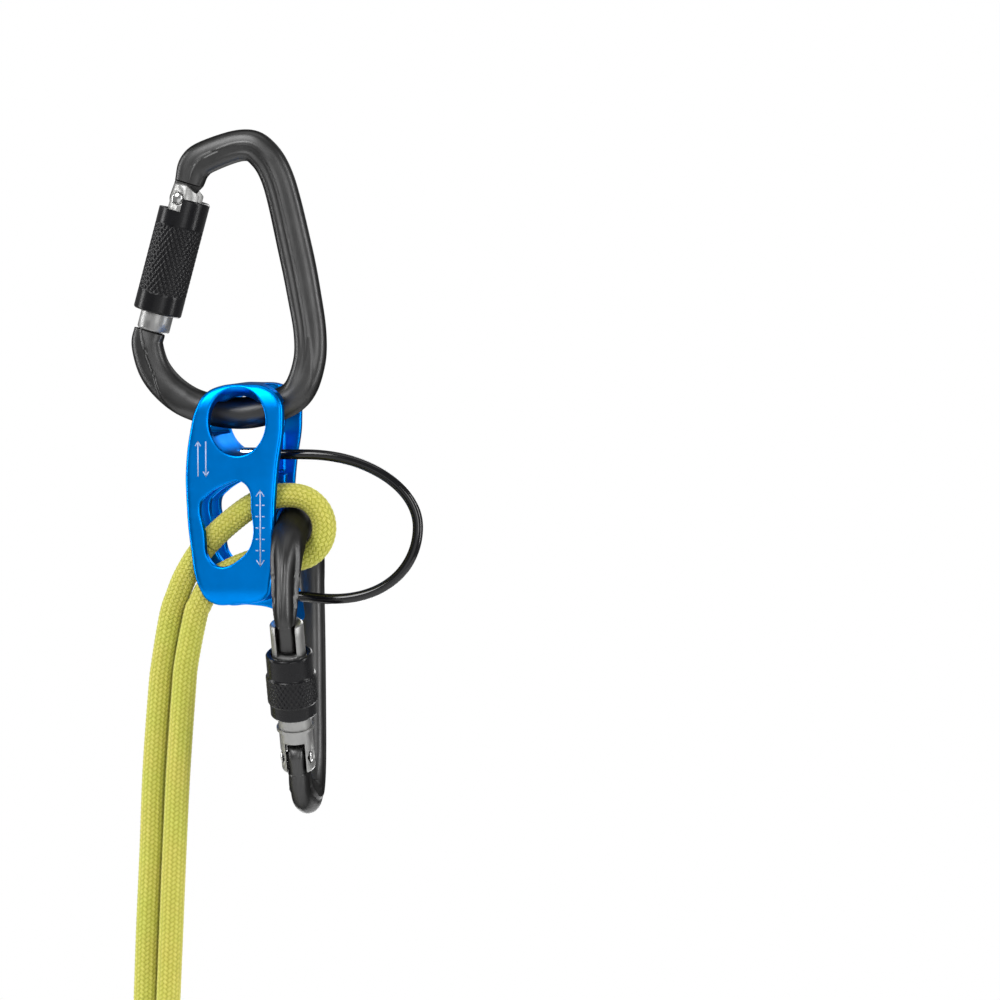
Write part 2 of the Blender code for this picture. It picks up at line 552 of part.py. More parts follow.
def keeper():
    """Covered cable loop, its bare ends crimped inside the plate."""
    middle = (KEEPER_TOP_Z + KEEPER_LOW_Z) / 2
    half = (KEEPER_TOP_Z - KEEPER_LOW_Z) / 2
    start = FERRULE_X[1] + GAP
    points = [(start + (KEEPER_FROM_X - start) * i / 4, 0, KEEPER_TOP_Z) for i in range(4)]
    for i in range(25):
        turn = pi / 2 - pi * i / 24
        sag = KEEPER_SAG * max(0, sin(-2 * turn))
        points.append((KEEPER_FROM_X + KEEPER_REACH * cos(turn), 0, middle + half * sin(turn) - sag))
    points += [(start + (KEEPER_FROM_X - start) * i / 4, 0, KEEPER_LOW_Z) for i in (3, 2, 1, 0)]
    sheath = tube("keeper_sheath", points, KEEPER_RADIUS, "cable", 2)
    bore = tube("keeper_bore", [(points[0][0] - 1, 0, KEEPER_TOP_Z)] + points
                + [(points[-1][0] - 1, 0, KEEPER_LOW_Z)], WIRE_RADIUS + GAP, None, 1, keep=False)
    cut(sheath, bore)
    inner = FERRULE_X[0] + 1.0
    tube("keeper_wire", [(inner, 0, KEEPER_TOP_Z)] + points + [(inner, 0, KEEPER_LOW_Z)], WIRE_RADIUS,
         "steel", 1)
    for label, z in (("upper", KEEPER_TOP_Z), ("lower", KEEPER_LOW_Z)):
        low, high = FERRULE_X
        length = high - low
        profile = [(0, FERRULE_RADIUS - 0.5), (0.5, FERRULE_RADIUS), (length - 0.4, FERRULE_RADIUS),
                   (length, FERRULE_RADIUS - 0.4), (length, WIRE_RADIUS + GAP), (0.6, WIRE_RADIUS + GAP),
                   (0.6, 0.5), (0, 0.5)]
        ferrule = turned((low, 0, z), (high, 0, z), profile, 20, closed=True)
        finish_mesh("keeper_ferrule_" + label, ferrule, "steel")


def rope_strand(name, route):
    count = int(sum((Vector(b) - Vector(a)).length for a, b in zip(route, route[1:])) / ROPE_SPACING)
    points = smooth_route(route, count)
    tube(name, points, ROPE_RADIUS, "rope", 3)
    return Vector(points[-1]), (Vector(points[-1]) - Vector(points[-2])).normalized()


def bight():
    """Half turn of the rope round the brake carabiner's bar."""
    return [(BRAKE_BAR.x + BIGHT_RADIUS * cos(turn), SLOT_Y, BRAKE_BAR.z + BIGHT_RADIUS * sin(turn))
            for turn in (pi / 2 - pi * i / 6 for i in range(7))]


def rope():
    ends = {"climber": rope_strand("rope_climber_strand", CLIMBER_ROUTE),
            "brake": rope_strand("rope_brake_strand", BRAKE_UPPER + bight() + BRAKE_LOWER)}
    profile = [(0, END_CAP_RADIUS - 0.4), (0.4, END_CAP_RADIUS), (END_CAP_LENGTH - 2, END_CAP_RADIUS),
               (END_CAP_LENGTH - 0.6, END_CAP_RADIUS - 0.8), (END_CAP_LENGTH, END_CAP_RADIUS - 2.2)]
    for label, (end, direction) in ends.items():
        start = end + direction * GAP
        cap = turned(start, start + direction * END_CAP_LENGTH, profile, 20)
        finish_mesh(label + "_rope_end", cap, "cap")


def carabiner(prefix, gate_radius, nose_reach, place=None):
    frame_body(prefix + "_carabiner_body", nose_reach, place)
    gate(prefix + "_gate", gate_radius, nose_reach, place)
    rivet(prefix + "_gate_rivet", gate_radius, place)
    plunger_and_spring(prefix + "_gate", place)


clear_scene()
PARTS = collection("rope_guide_plate_rig")
CUTTERS = collection("cutters")
carabiner("anchor", ANCHOR_GATE_RADIUS, ANCHOR_NOSE_REACH)
anchor_sleeve()
ring_on_gate("anchor_sleeve_ring", 10.0, 13.0, ANCHOR_GATE_RADIUS + 0.25, 6.9, "steel")
tube("anchor_sleeve_spring", coil(on_gate(14.0), on_gate(30.0), 6.85, 5, 12), 0.2, "steel", 0)
belay_plate()
keeper()
carabiner("brake", BRAKE_GATE_RADIUS, BRAKE_NOSE_REACH, brake_place())
screw_sleeve(brake_place())
ring_on_gate("sleeve_stop_ring", STOP_RING_T - STOP_RING_WIRE, STOP_RING_T + STOP_RING_WIRE,
             BRAKE_GATE_RADIUS + 0.15, BRAKE_GATE_RADIUS + 0.75, "steel", brake_place())
rope()
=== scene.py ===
"""Looks of the guide plate rig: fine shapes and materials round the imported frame.

Lengths are millimetres until a mesh is finished, and metres after that.
"""

import bmesh
import bpy
import numpy as np
from math import cos, pi, radians, sin, sqrt
from mathutils import Matrix, Vector


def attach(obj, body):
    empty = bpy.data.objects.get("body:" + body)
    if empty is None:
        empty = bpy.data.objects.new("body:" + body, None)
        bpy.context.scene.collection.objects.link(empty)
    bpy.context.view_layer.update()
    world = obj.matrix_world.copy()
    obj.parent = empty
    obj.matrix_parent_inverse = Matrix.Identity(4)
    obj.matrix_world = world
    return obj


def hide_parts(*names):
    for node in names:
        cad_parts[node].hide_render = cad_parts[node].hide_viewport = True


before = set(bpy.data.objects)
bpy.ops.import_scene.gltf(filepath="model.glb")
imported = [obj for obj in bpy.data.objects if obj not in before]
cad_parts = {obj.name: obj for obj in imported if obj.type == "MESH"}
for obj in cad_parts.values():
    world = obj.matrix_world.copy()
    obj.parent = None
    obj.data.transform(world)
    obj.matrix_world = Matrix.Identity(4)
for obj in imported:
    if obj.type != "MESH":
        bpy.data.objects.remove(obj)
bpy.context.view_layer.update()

MM = 0.001
GAP = 0.3

# Pear frame of both carabiners, in the plane of the anchor carabiner (x, z).
GATE_FREE_END = Vector((-34.4, 0, -63.3))
GATE_HINGE = Vector((-21.1, 0, -14.6))
GATE_LENGTH = 50.5
PIVOT_OFFSET = -2.0
HINGE_EYE_RADIUS = 4.4
TONGUE_HALF = 3.0
SHOULDER_T = 57.0
SHOULDER_SHIFT = -0.6
SHOULDER_HALF_WIDTH = 5.4
# distance before the shoulder, and how much of the shoulder's thickness is reached there
SHOULDER_RISE = [(0.35, 0.15), (0.2, 0.45), (0.05, 0.8)]
# t, offset inwards, half width
HINGE_NECK = [(54.0, -1.4, 4.7), (SHOULDER_T - 0.5, SHOULDER_SHIFT, 5.3)]
EYE_TURNS = range(10, 91, 8)
LEDGE_T = -0.7
LEDGE_SHIFT = -1.0
NOSE_SHIFT = -1.2
# distance past the ledge, offset inwards, half width, half thickness
LEDGE_STEPS = [
    (0.15, -1.05, 5.8, 3.3), (0.2, NOSE_SHIFT, 3.9, TONGUE_HALF + 0.1), (0.6, NOSE_SHIFT, 3.8, TONGUE_HALF)]
# distance short of the nose's end, half width, loss of half thickness
NOSE_STEPS = [(1.4, 3.8, 0), (0.7, 3.6, 0.15), (0.25, 3.1, 0.5), (0, 2.2, 1.2)]
BAR_RADIUS = 6.0
SEAT_GAP = 1.3
BIGHT_GAP = 0.9
BAR_LOW = Vector((-0.8, 0, -94.1))
SHOULDER_SECTION = (5.5, 3.9, 0.0, 0.5, 0.2)
LEDGE_SECTION = (6.0, 3.5, 0.0, 0.4, -0.4)
# x, z, half width in the plane, half thickness, depth of the valley beside the inner bead,
# recess of the flat outer panel, and how far across the section (-1 outer, 1 inner) the panel ends
FRAME_STATIONS = [
    (-17.9, -2.2, 6.3, 4.3, 0.0, 0.9, 0.2), (-13.1, 1.5, 6.2, 4.7, 0.2, 1.0, 0.1),
    (0.0, 5.6, 5.9, 4.9, 0.4, 0.8, 0.0), (7.6, 3.3, 6.0, 4.9, 0.6, 0.6, 0.0),
    (14.3, -7.6, 6.1, 4.8, 0.8, 0.4, 0.0), (20.6, -33.0, 6.4, 4.8, 0.9, 0.3, 0.0),
    (24.0, -50.0, 6.3, 4.8, 0.9, 0.3, 0.0), (26.2, -64.4, 6.1, 4.8, 0.8, 0.4, 0.0),
    (25.7, -75.6, 6.0, 5.2, 0.4, 0.3, -0.3), (21.4, -86.2, 6.0, 5.8, 0.0, 0.0, -0.9),
    (12.6, -91.5, 6.0, 6.0, 0.0, 0.0, -0.9), (-0.8, -94.1, 6.0, 6.0, 0.0, 0.0, -0.9),
    (-16.0, -91.8, 6.0, 6.0, 0.0, 0.0, -0.9), (-26.0, -86.8, 6.1, 5.6, 0.0, 0.8, -0.6),
    (-33.4, -78.6, 6.1, 5.0, 0.0, 1.7, 0.1), (-36.5, -69.0, 6.0, 4.3, 0.0, 1.2, 0.0)]
VALLEY_PLACE = 0.3
VALLEY_REACH = 0.3
RIDGE_WIDTH = 0.2
LEAST_THICKNESS = 0.35
MOST_SQUARENESS = 0.6

# Gates, measured from the free end along the gate.
FORK_T = 44.5
FORK_END_T = 56.2
# Half length of a cutter that goes right through a gate or a frame
CUT_REACH = 9
FORK_CUT_END_T = 60.0
FORK_HEEL = [
    (52.4, 6.7), (56.5, -0.5), (FORK_CUT_END_T, -0.5), (FORK_CUT_END_T, CUT_REACH), (52.4, CUT_REACH)]
NOSE_CUT_START_T = -3.0
NOSE_CLEARANCE = 0.8
NOSE_SLOT_INNER = 3.2
SLOT_HALF = 3.5
RIVET_RADIUS = 1.85
RIVET_HEAD_RADIUS = 2.2
RIVET_HEAD_HEIGHT = 0.75
RIVET_CROWN_FLAT = 0.12
SPOT_FACE_DEPTH = 1.2
SPOT_FACE_RADIUS = 2.6
ANCHOR_GATE_RADIUS = 6.3
BRAKE_GATE_RADIUS = 5.85
ANCHOR_NOSE_REACH = 6.4
BRAKE_NOSE_REACH = 10.2
# distance from the end, loss of radius
GATE_NOSE_ROUND = [(0, 0.8), (0.25, 0.3), (0.7, 0)]
GATE_HEEL_ROUND = [(0.9, 0), (0.3, 0.25), (0, 0.8)]
GATE_RING_T = range(4, 51, 4)
GATE_EDGE = 0.22
GATE_EDGE_SEGMENTS = 2
GATE_EDGE_ANGLE = 40
BORE_RADIUS = 2.2
BORE_START_T = 24.0
BORE_PAST_FORK = 2

ANCHOR_SLEEVE = dict(start=7.0, end=51.0, radius=9.1, bore=7.2)
ANCHOR_CHAMFER = 0.45
ANCHOR_KNURL = dict(zone=(7.0, 33.5), lines=30, pitch=3.4, sides=210)
SLEEVE_NOTCH_T = 46.0
SLEEVE_NOTCH_END_T = 56.0
SLEEVE_NOTCH_REACH = 12
STEP_INNER = 1.0
SCREW_SLEEVE = dict(start=11.4, end=34.9, radius=8.15, bore=6.2, band=8.8, band_from=19.8, band_to=29.4)
SCREW_CHAMFER = 0.5
BAND_SLOPE = 0.45
SCREW_KNURL = dict(lines=32, pitch=2.6, sides=224)
KNURL_DEPTH = 0.45
KNURL_STEP = 0.28
KNURL_FADE = 0.5
KNURL_FLAT = 1.7
# The end face is narrower than the chamfer by this much, and the bore opens out at its mouth.
SLEEVE_LIP = 0.35
MOUTH_DEPTHS = (0.2, 0.6)
MOUTH_FLARE = 0.1

# Belay plate
PLATE_DEPTH = 17.2
WALL = 3.8
SLOT_EDGE = 1.9
TUNNEL_HALF = PLATE_DEPTH - WALL
# Cutters reach this far in x, past the plate
CUT_X = (-30, 40)
PLATE_OUTLINE = [
    (3.9, -82.9), (-4.6, -83.5), (-10.6, -86.6), (-14.0, -92.5), (-15.8, -99.5), (-17.6, -113.5),
    (-17.5, -125.7), (-16.0, -143.0), (-12.6, -159.0), (-8.6, -164.1), (2.0, -164.4), (13.2, -161.6),
    (15.2, -155.5), (16.4, -126.5), (17.4, -114.0), (19.5, -96.5), (18.4, -88.4), (13.0, -83.9)]
WINDOW_OUTLINE = [
    (2.7, -118.6), (6.6, -121.8), (7.3, -128.0), (7.3, -142.0), (2.3, -148.0), (-4.6, -150.6),
    (-8.6, -148.0), (-10.4, -138.0), (-11.9, -127.2), (-10.3, -124.9), (-0.8, -119.3)]
HORN_OUTLINE = [
    (-8.0, -161.0), (-6.0, -165.2), (3.2, -165.7), (11.8, -166.9), (15.4, -168.8), (17.2, -171.8),
    (19.8, -172.6), (20.2, -168.6), (16.6, -159.0)]
HORN_FRONT_Y = -4.5
HORN_EDGE = 0.8
EYE_CENTRE = (2.1, -96.5)
EYE_HALF = (10.9, 12.8)
EYE_DEEP_CENTRE = (2.1, -98.0)
EYE_DEEP_HALF = (10.5, 10.6)
EYE_LIP = 0.4
EYE_DEEP_INSET = 3.0
TUNNEL_Z = (-102.0, -89.5)
WEB_END_X = 12.6
WEB_END_HALF = TUNNEL_HALF + 0.1
WEB_Z = (-116.6, -101.6)
# The anchor bar lies in an arched groove, which opens out at both ends so that the plate can swing.
GROOVE_RADIUS = 7.3
GROOVE_DROP = 0.9
GROOVE_BEND = 50.0
GROOVE_FLARE = 0.0075
GROOVE_X = (-26, 30)
GROOVE_STEP = 2
# Side view of both rope slots: their floor falls away to the left, where the strands leave.
SLOT_OUTLINE = [
    (-34, -116), (40, -116), (40, -152.6), (14, -152.6), (6.2, -154.8), (-2.0, -158.4), (-6.9, -162.6),
    (-9.9, -168), (-12, -176), (-34, -176)]

# Keeper cable
KEEPER_RADIUS = 1.95
KEEPER_TOP_Z = -109.4
KEEPER_LOW_Z = -162.6
KEEPER_REACH = 42.0
KEEPER_FROM_X = 25.0
KEEPER_SAG = 3.2
KEEPER_ARC_STEPS = 90
KEEPER_STRAIGHT_STEPS = 8
KEEPER_HOLE_END_X = 30
FERRULE_RADIUS = 2.5
FERRULE_X = (-0.6, 6.2)
POCKET_BEHIND = 0.6
POCKET_AHEAD = 0.4

# Brake carabiner and rope
BRAKE_BAR = Vector((21.2, -7.65, -136.1))
BRAKE_BAR_SHIFT = -9.65
BAR_BEND = 82.0
SEAT_SHIFTS = range(-28, 29, 4)
BRAKE_SCALE = 1.062
BRAKE_YAW = radians(4.5)
BRAKE_ROLL = radians(4.7)
BRAKE_LEAN = radians(-1.5)
ROPE_RADIUS = 4.6
BIGHT_RADIUS = BAR_RADIUS * BRAKE_SCALE + ROPE_RADIUS + BIGHT_GAP
SLOT_Y = -7.65
CLIMBER_ROUTE = [
    (-11.6, -7.65, -142.6), (-15.6, -7.6, -147.4), (-18.5, -7.3, -151.9), (-21.0, -6.9, -156.4),
    (-23.2, -6.4, -161.6), (-26.0, -6.0, -169.6), (-29.2, -6.0, -187.4), (-30.6, -6.0, -199.3),
    (-32.9, -6.0, -228.9), (-34.2, -6.0, -258.5), (-35.7, -6.0, -288.0), (-36.9, -6.0, -318.0),
    (-37.3, -6.0, -328.0)]
BRAKE_UPPER = [(-11.2, -7.65, -142.1), (-4.0, -7.65, -135.4), (5.0, -7.65, -128.6), (13.0, -7.65, -125.1)]
BRAKE_LOWER = [
    (14.4, -7.65, -146.7), (4.0, -7.65, -149.7), (-5.0, -7.8, -153.8), (-11.0, -8.2, -159.0),
    (-14.4, -8.7, -165.4), (-16.0, -8.9, -169.6), (-19.5, -9.0, -187.0), (-20.7, -9.0, -199.0),
    (-22.9, -9.0, -228.7), (-24.5, -9.0, -258.0), (-25.9, -9.0, -288.0), (-27.3, -9.0, -318.0),
    (-27.7, -9.0, -328.0)]
END_CAP_RADIUS = 4.85
END_CAP_LENGTH = 16.0
# distance, loss of radius
CAP_START_ROUND = [(0, 0.5), (0.15, 0.15), (0.5, 0)]
CAP_RIPPLE_T = range(1, 14)
CAP_RIPPLE = 0.1
CAP_RIPPLE_RATE = 2.1
CAP_RIPPLE_DROP = 0.12
CAP_TIP_LENGTH = 1.6
CAP_TIP_DROP = 1.4
CAP_TIP_ROUND = 1.3

# Fineness of the visible meshes, and the angles above which an edge stays sharp
SECTION_POINTS = 96
GROOVE_POINTS = 64
EYE_POINTS = 96
TURNED_SIDES = 96
HOLE_SIDES = 48
POCKET_SIDES = 40
BORE_SIDES = 32
ROUTE_FINENESS = 24
OUTLINE_FINENESS = 10
HORN_FINENESS = 8
FRAME_CREASE = radians(38)
EDGE_CREASE = radians(50)
KNURL_CREASE = radians(60)
BODY_RINGS = 260
PLATE_EDGE = 1.6
PLATE_VOXEL = 0.3
PLATE_EASING = 18
# where the faces start to draw inwards, and by how much per square of the distance past it
PLATE_TOP_BEND = (-93.5, 0.021)
PLATE_FOOT_BEND = (-156.5, 0.033)
BRAID_CARRIERS = 16
BRAID_PITCH = 1.75
BRAID_YARNS = 2
BRAID_DEPTH = 0.75
BRAID_STEP = 0.25
BRAID_SIDES = 192
BRAID_LOW = 0.45
YARN_FULLNESS = 2.2
YARN_ARCH = 0.6
BUNDLE_EDGE = 0.12
TONE_LOW = 0.9
TONE_RANGE = 0.14
TONE_HASH = (12.9898, 43758.5453)
SECOND_FAMILY = 101
PATH_STEP = 4

# Marks on the plate's front face
MARK_WIDTH = 0.45
MARK_HEIGHT = 0.05
# x, tip, tail
MARK_ARROWS = [(-12.6, -104.0, -117.0), (-9.6, -117.0, -104.0)]
# half spread, length of the barbs along the shaft
ARROW_HEAD = (1.0, 1.8)
RULE_X = 11.0
RULE_Z = (-122.0, -150.0)
RULE_HEAD = (1.5, 2.2)
RULE_TICKS = 5
RULE_FIRST_TICK = -127.5
RULE_TICK_STEP = 4.2
# nearer and farther end of a tick, from the ruled line
RULE_TICK_X = (0.7, 1.7)

# Materials: noise scales are in cells per metre
NOISE_RANGE = (0.3, 0.7)
MOTTLE_SCALE = 70.0
MOTTLE_DETAIL = 4.0
GLOSS_SCALE = 260.0
GRAIN_DETAIL = 2.0
GRAIN_STRENGTH = 0.35
ROPE_COLOUR = (0.6, 0.62, 0.08)
ROPE_ROUGHNESS = 0.75
ROPE_PATCH_SCALE = 55.0
ROPE_PATCHES = [(0.35, (0.93, 1.0, 0.85)), (0.65, (1.0, 0.97, 0.95))]
ROPE_SHEEN = 0.25
ROPE_SHEEN_ROUGHNESS = 0.4
FILAMENT_SCALE = 5200.0
FILAMENT_STRENGTH = 0.5
FILAMENT_DEPTH = 0.00006
# Rope colour along the braid attribute: the dark stops are painted shade for the braid's low places, the
# light stops are the yarns' crowns, and each yarn's random tone shifts along them too
ROPE_TONE_AND_SHADE_STOPS = [(0.05, (0.16, 0.145, 0.011)), (0.35, (0.32, 0.31, 0.028)), (0.7, (0.50, 0.48, 0.07)),
              (1.0, (0.68, 0.64, 0.16))]

# Camera and light
CAMERA_AZIMUTH = 10.3
CAMERA_RISE = 3.5
CAMERA_TARGET = (98.0, 0.0, -125.6)
CAMERA_DISTANCE = 1.5
CAMERA_WIDTH = 0.370
SENSOR_WIDTH = 36.0
CAMERA_CLIP_END = 50
FLOOR_Z = -0.42
FLOOR_RADIUS = 0.5
FLOOR_COLOUR = (0.93, 0.93, 0.93)
FLOOR_SHADES = ((0.92, 0.92, 0.92), (0.94, 0.94, 0.94))
FLOOR_ROUGHNESS = 0.9
FLOOR_NOISE_SCALE = 1.2
SURROUND_STRENGTH = 1.0
ROOM_STRENGTH = 0.24
RIG_MIDDLE = (0.0, 0.0, -0.13)
# name, place, aim and size in metres, power in watts
LIGHTS = [
    ("key", (-0.45, -1.1, 0.75), RIG_MIDDLE, (0.55, 0.8), 13.0),
    ("fill", (0.7, -1.2, 0.1), RIG_MIDDLE, (0.5, 0.9), 5.0),
    ("left_strip", (-1.0, -0.15, 0.05), RIG_MIDDLE, (0.16, 1.1), 6.0),
    ("right_strip", (1.0, -0.1, 0.05), RIG_MIDDLE, (0.16, 1.1), 6.0),
    ("back_strip", (0.25, 1.1, 0.4), RIG_MIDDLE, (0.5, 0.8), 6.0),
    ("top", (0.0, -0.1, 1.0), RIG_MIDDLE, (0.9, 0.5), 1.6),
    ("low", (0.0, 0.35, -0.40), (0.0, 0.0, -0.09), (0.3, 0.2), 1.2),
    ("front", (0.1, -0.8, -0.30), RIG_MIDDLE, (0.7, 0.5), 0.7)]

AXIS = (GATE_HINGE - GATE_FREE_END).normalized()
INWARD = Vector((AXIS.z, 0, -AXIS.x))
NORMAL = Vector((0, 1, 0))


def on_gate(t, inward=0.0, depth=0.0):
    """Point in the carabiner's own frame, t along the gate from its free end."""
    return GATE_FREE_END + AXIS * t + INWARD * inward + NORMAL * depth


PIVOT = on_gate(GATE_LENGTH, PIVOT_OFFSET)


def around(count):
    """Evenly spaced angles of one full turn."""
    return [2 * pi * i / count for i in range(count)]


def bar_point(shift):
    """Centre of the round bar at a distance along it from its lowest point."""
    return BAR_LOW + Vector((shift, 0, shift * shift / BAR_BEND))


def brake_place():
    """Carries the pear frame upside down and edge on, its bar inside the rope's bight."""
    turned_over = Matrix(((0, 1, 0), (1, 0, 0), (0, 0, -1))).to_4x4()
    turn = (Matrix.Rotation(BRAKE_YAW, 4, "Z") @ Matrix.Rotation(BRAKE_LEAN, 4, "Y")
            @ Matrix.Rotation(BRAKE_ROLL, 4, "X") @ turned_over)
    return (Matrix.Translation(BRAKE_BAR * MM) @ turn @ Matrix.Scale(BRAKE_SCALE, 4)
            @ Matrix.Translation(-bar_point(BRAKE_BAR_SHIFT) * MM))


def finish_mesh(name, bm, place=None):
    """Turn a millimetre bmesh into an object in metres."""
    bmesh.ops.recalc_face_normals(bm, faces=bm.faces)
    bmesh.ops.scale(bm, vec=(MM, MM, MM), verts=bm.verts)
    if place is not None:
        bmesh.ops.transform(bm, matrix=place, verts=bm.verts)
    mesh = bpy.data.meshes.new(name)
    bm.to_mesh(mesh)
    bm.free()
    obj = bpy.data.objects.new(name, mesh)
    bpy.context.scene.collection.objects.link(obj)
    mesh.shade_smooth()
    return obj


def apply_modifiers(obj):
    """Keep the modified mesh and drop the modifiers."""
    graph = bpy.context.evaluated_depsgraph_get()
    mesh = bpy.data.meshes.new_from_object(obj.evaluated_get(graph))
    obj.modifiers.clear()
    obj.data = mesh


def cut(obj, cutter, operation="DIFFERENCE"):
    """Boolean at once, and drop the cutter."""
    step = obj.modifiers.new("cut", "BOOLEAN")
    step.operation = operation
    step.solver = "EXACT"
    step.object = cutter
    apply_modifiers(obj)
    bpy.data.objects.remove(cutter, do_unlink=True)


def soften(obj, width, segments, angle):
    """Round the sharp edges and shade smooth."""
    bevel = obj.modifiers.new("edges", "BEVEL")
    bevel.width = width * MM
    bevel.segments = segments
    bevel.limit_method = "ANGLE"
    bevel.angle_limit = radians(angle)
    bevel.harden_normals = True
    apply_modifiers(obj)
    obj.data.shade_smooth()
    obj.data.set_sharp_from_angle(angle=EDGE_CREASE)
    return obj


def stand_for(obj, node, body, look):
    """This piece replaces a CAD node, rides on its body and takes its finish."""
    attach(obj, body)
    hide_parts(node)
    obj.data.materials.clear()
    obj.data.materials.append(look)


def skin(bm, loops, closed=False):
    """Faces through loops of equal vertex counts: flat caps on both ends, or the last joined to the first."""
    count = len(loops[0])
    for near, far in zip(loops, loops[1:] + loops[:1] if closed else loops[1:]):
        for i in range(count):
            j = (i + 1) % count
            bm.faces.new((near[i], near[j], far[j], far[i]))
    if not closed:
        bm.faces.new(loops[0][::-1])
        bm.faces.new(loops[-1])


def ring_loft(rings):
    """Closed skin through rings of equal point counts, with a flat cap on each end."""
    bm = bmesh.new()
    skin(bm, [[bm.verts.new(point) for point in ring] for ring in rings])
    return bm


def box(low, high):
    """Square block between two corners."""
    bm = bmesh.new()
    size = Vector(high) - Vector(low)
    middle = (Vector(high) + Vector(low)) / 2
    bmesh.ops.create_cube(bm, size=1, matrix=Matrix.Translation(middle) @ Matrix.Diagonal(size.to_4d()))
    return bm


def frame_along(start, end):
    """Matrix with its Z from start to end and its origin at start."""
    direction = (Vector(end) - Vector(start)).normalized()
    return Matrix.Translation(start) @ direction.to_track_quat("Z", "Y").to_matrix().to_4x4()


def rod(start, end, radius, sides):
    """Plain cylinder."""
    bm = bmesh.new()
    length = (Vector(end) - Vector(start)).length
    place = frame_along(start, end) @ Matrix.Translation((0, 0, length / 2))
    bmesh.ops.create_cone(bm, cap_ends=True, segments=sides, radius1=radius, radius2=radius,
                          depth=length, matrix=place)
    return bm


def turned(start, end, profile, sides):
    """Turn (distance, radius) points about the line."""
    place = frame_along(start, end)
    return ring_loft([[place @ Vector((radius * cos(a), radius * sin(a), distance)) for a in around(sides)]
                      for distance, radius in profile])


def smooth_route(points, count):
    """Catmull-Rom curve through points of any width, resampled at even distances."""
    padded = [[2 * a - b for a, b in zip(points[0], points[1])], *points,
              [2 * a - b for a, b in zip(points[-1], points[-2])]]
    fine = []
    for before, start, end, after in zip(padded, padded[1:], padded[2:], padded[3:]):
        for step in range(ROUTE_FINENESS):
            t = step / ROUTE_FINENESS
            fine.append([0.5 * (2 * b + (c - a) * t + (2 * a - 5 * b + 4 * c - d) * t * t
                                + (3 * b - a - 3 * c + d) * t ** 3)
                         for a, b, c, d in zip(before, start, end, after)])
    fine.append(list(points[-1]))
    travelled = [0.0]
    for near, far in zip(fine, fine[1:]):
        travelled.append(travelled[-1] + sqrt(sum((p - q) ** 2 for p, q in zip(near[:3], far[:3]))))
    even = []
    index = 0
    for step in range(count):
        target = travelled[-1] * step / (count - 1)
        while index < len(fine) - 2 and travelled[index + 1] < target:
            index += 1
        span = travelled[index + 1] - travelled[index]
        t = (target - travelled[index]) / span
        even.append([p + (q - p) * t for p, q in zip(fine[index], fine[index + 1])])
    return even


def section(centre, side, half_width, half_depth, valley=0.0, recess=0.0, ridge=0.0, squareness=2.5):
    """Rounded-oblong ring with, on both faces, a valley beside the inner bead and a sunk outer panel."""
    points = []
    for turn in around(SECTION_POINTS):
        u = abs(cos(turn)) ** (2 / squareness) * (1 if cos(turn) >= 0 else -1)
        v = half_depth * abs(sin(turn)) ** (2 / squareness)
        across = min(1.0, abs(u - VALLEY_PLACE) / VALLEY_REACH)
        sunk = max(0.0, min(1.0, (ridge - u) / RIDGE_WIDTH))
        loss = valley * (1 - across ** 2) ** 2 + recess * sunk * sunk * (3 - 2 * sunk)
        v = max(v - loss, v * LEAST_THICKNESS) * (1 if sin(turn) >= 0 else -1)
        points.append(centre + side * (u * half_width) + NORMAL * v)
    return points


def outline_prism(points, front, back, resolution=OUTLINE_FINENESS, edge=0.0):
    """Smooth closed outline in (x, z), as a solid from the front depth to the back depth."""
    curve = bpy.data.curves.new("outline", "CURVE")
    curve.dimensions = "2D"
    curve.fill_mode = "BOTH"
    curve.extrude = (back - front) / 2 - edge
    if edge:
        curve.bevel_depth = edge
        curve.bevel_resolution = 4
        curve.offset = -edge
    curve.resolution_u = resolution
    spline = curve.splines.new("BEZIER")
    spline.bezier_points.add(len(points) - 1)
    for knot, (x, z) in zip(spline.bezier_points, points):
        knot.co = (x, z, 0)
        knot.handle_left_type = knot.handle_right_type = "AUTO"
    spline.use_cyclic_u = True
    guide = bpy.data.objects.new("outline", curve)
    bpy.context.scene.collection.objects.link(guide)
    graph = bpy.context.evaluated_depsgraph_get()
    mesh = bpy.data.meshes.new_from_object(guide.evaluated_get(graph))
    bpy.data.objects.remove(guide, do_unlink=True)
    bm = bmesh.new()
    bm.from_mesh(mesh)
    bmesh.ops.remove_doubles(bm, verts=bm.verts, dist=1e-4)
    upright = Matrix.Translation((0, (front + back) / 2, 0)) @ Matrix.Rotation(pi / 2, 4, "X")
    bmesh.ops.transform(bm, matrix=upright, verts=bm.verts)
    return bm


def groove_rings():
    """Trumpet-ended tube along the anchor bar, its radius growing away from the bar's lowest point."""
    rings = []
    for x in range(GROOVE_X[0], GROOVE_X[1] + 1, GROOVE_STEP):
        away = x - BAR_LOW.x
        centre = Vector((x, 0, BAR_LOW.z - GROOVE_DROP + away ** 2 / GROOVE_BEND))
        across = Vector((-2 * away / GROOVE_BEND, 0, 1)).normalized()
        radius = GROOVE_RADIUS + GROOVE_FLARE * away ** 2
        rings.append([centre + (NORMAL * cos(turn) + across * sin(turn)) * radius
                      for turn in around(GROOVE_POINTS)])
    return rings


def eye_cutter():
    """Oval through both faces, wide at each face and drawn down towards the middle."""
    rings = []
    face = PLATE_DEPTH - EYE_LIP
    deep = TUNNEL_HALF - EYE_DEEP_INSET
    for y, centre, half in ((-PLATE_DEPTH - 1, EYE_CENTRE, EYE_HALF), (-face, EYE_CENTRE, EYE_HALF),
                            (-deep, EYE_DEEP_CENTRE, EYE_DEEP_HALF), (deep, EYE_DEEP_CENTRE, EYE_DEEP_HALF),
                            (face, EYE_CENTRE, EYE_HALF), (PLATE_DEPTH + 1, EYE_CENTRE, EYE_HALF)):
        rings.append([Vector((centre[0] + half[0] * cos(a), y, centre[1] + half[1] * sin(a)))
                      for a in around(EYE_POINTS)])
    return ring_loft(rings)


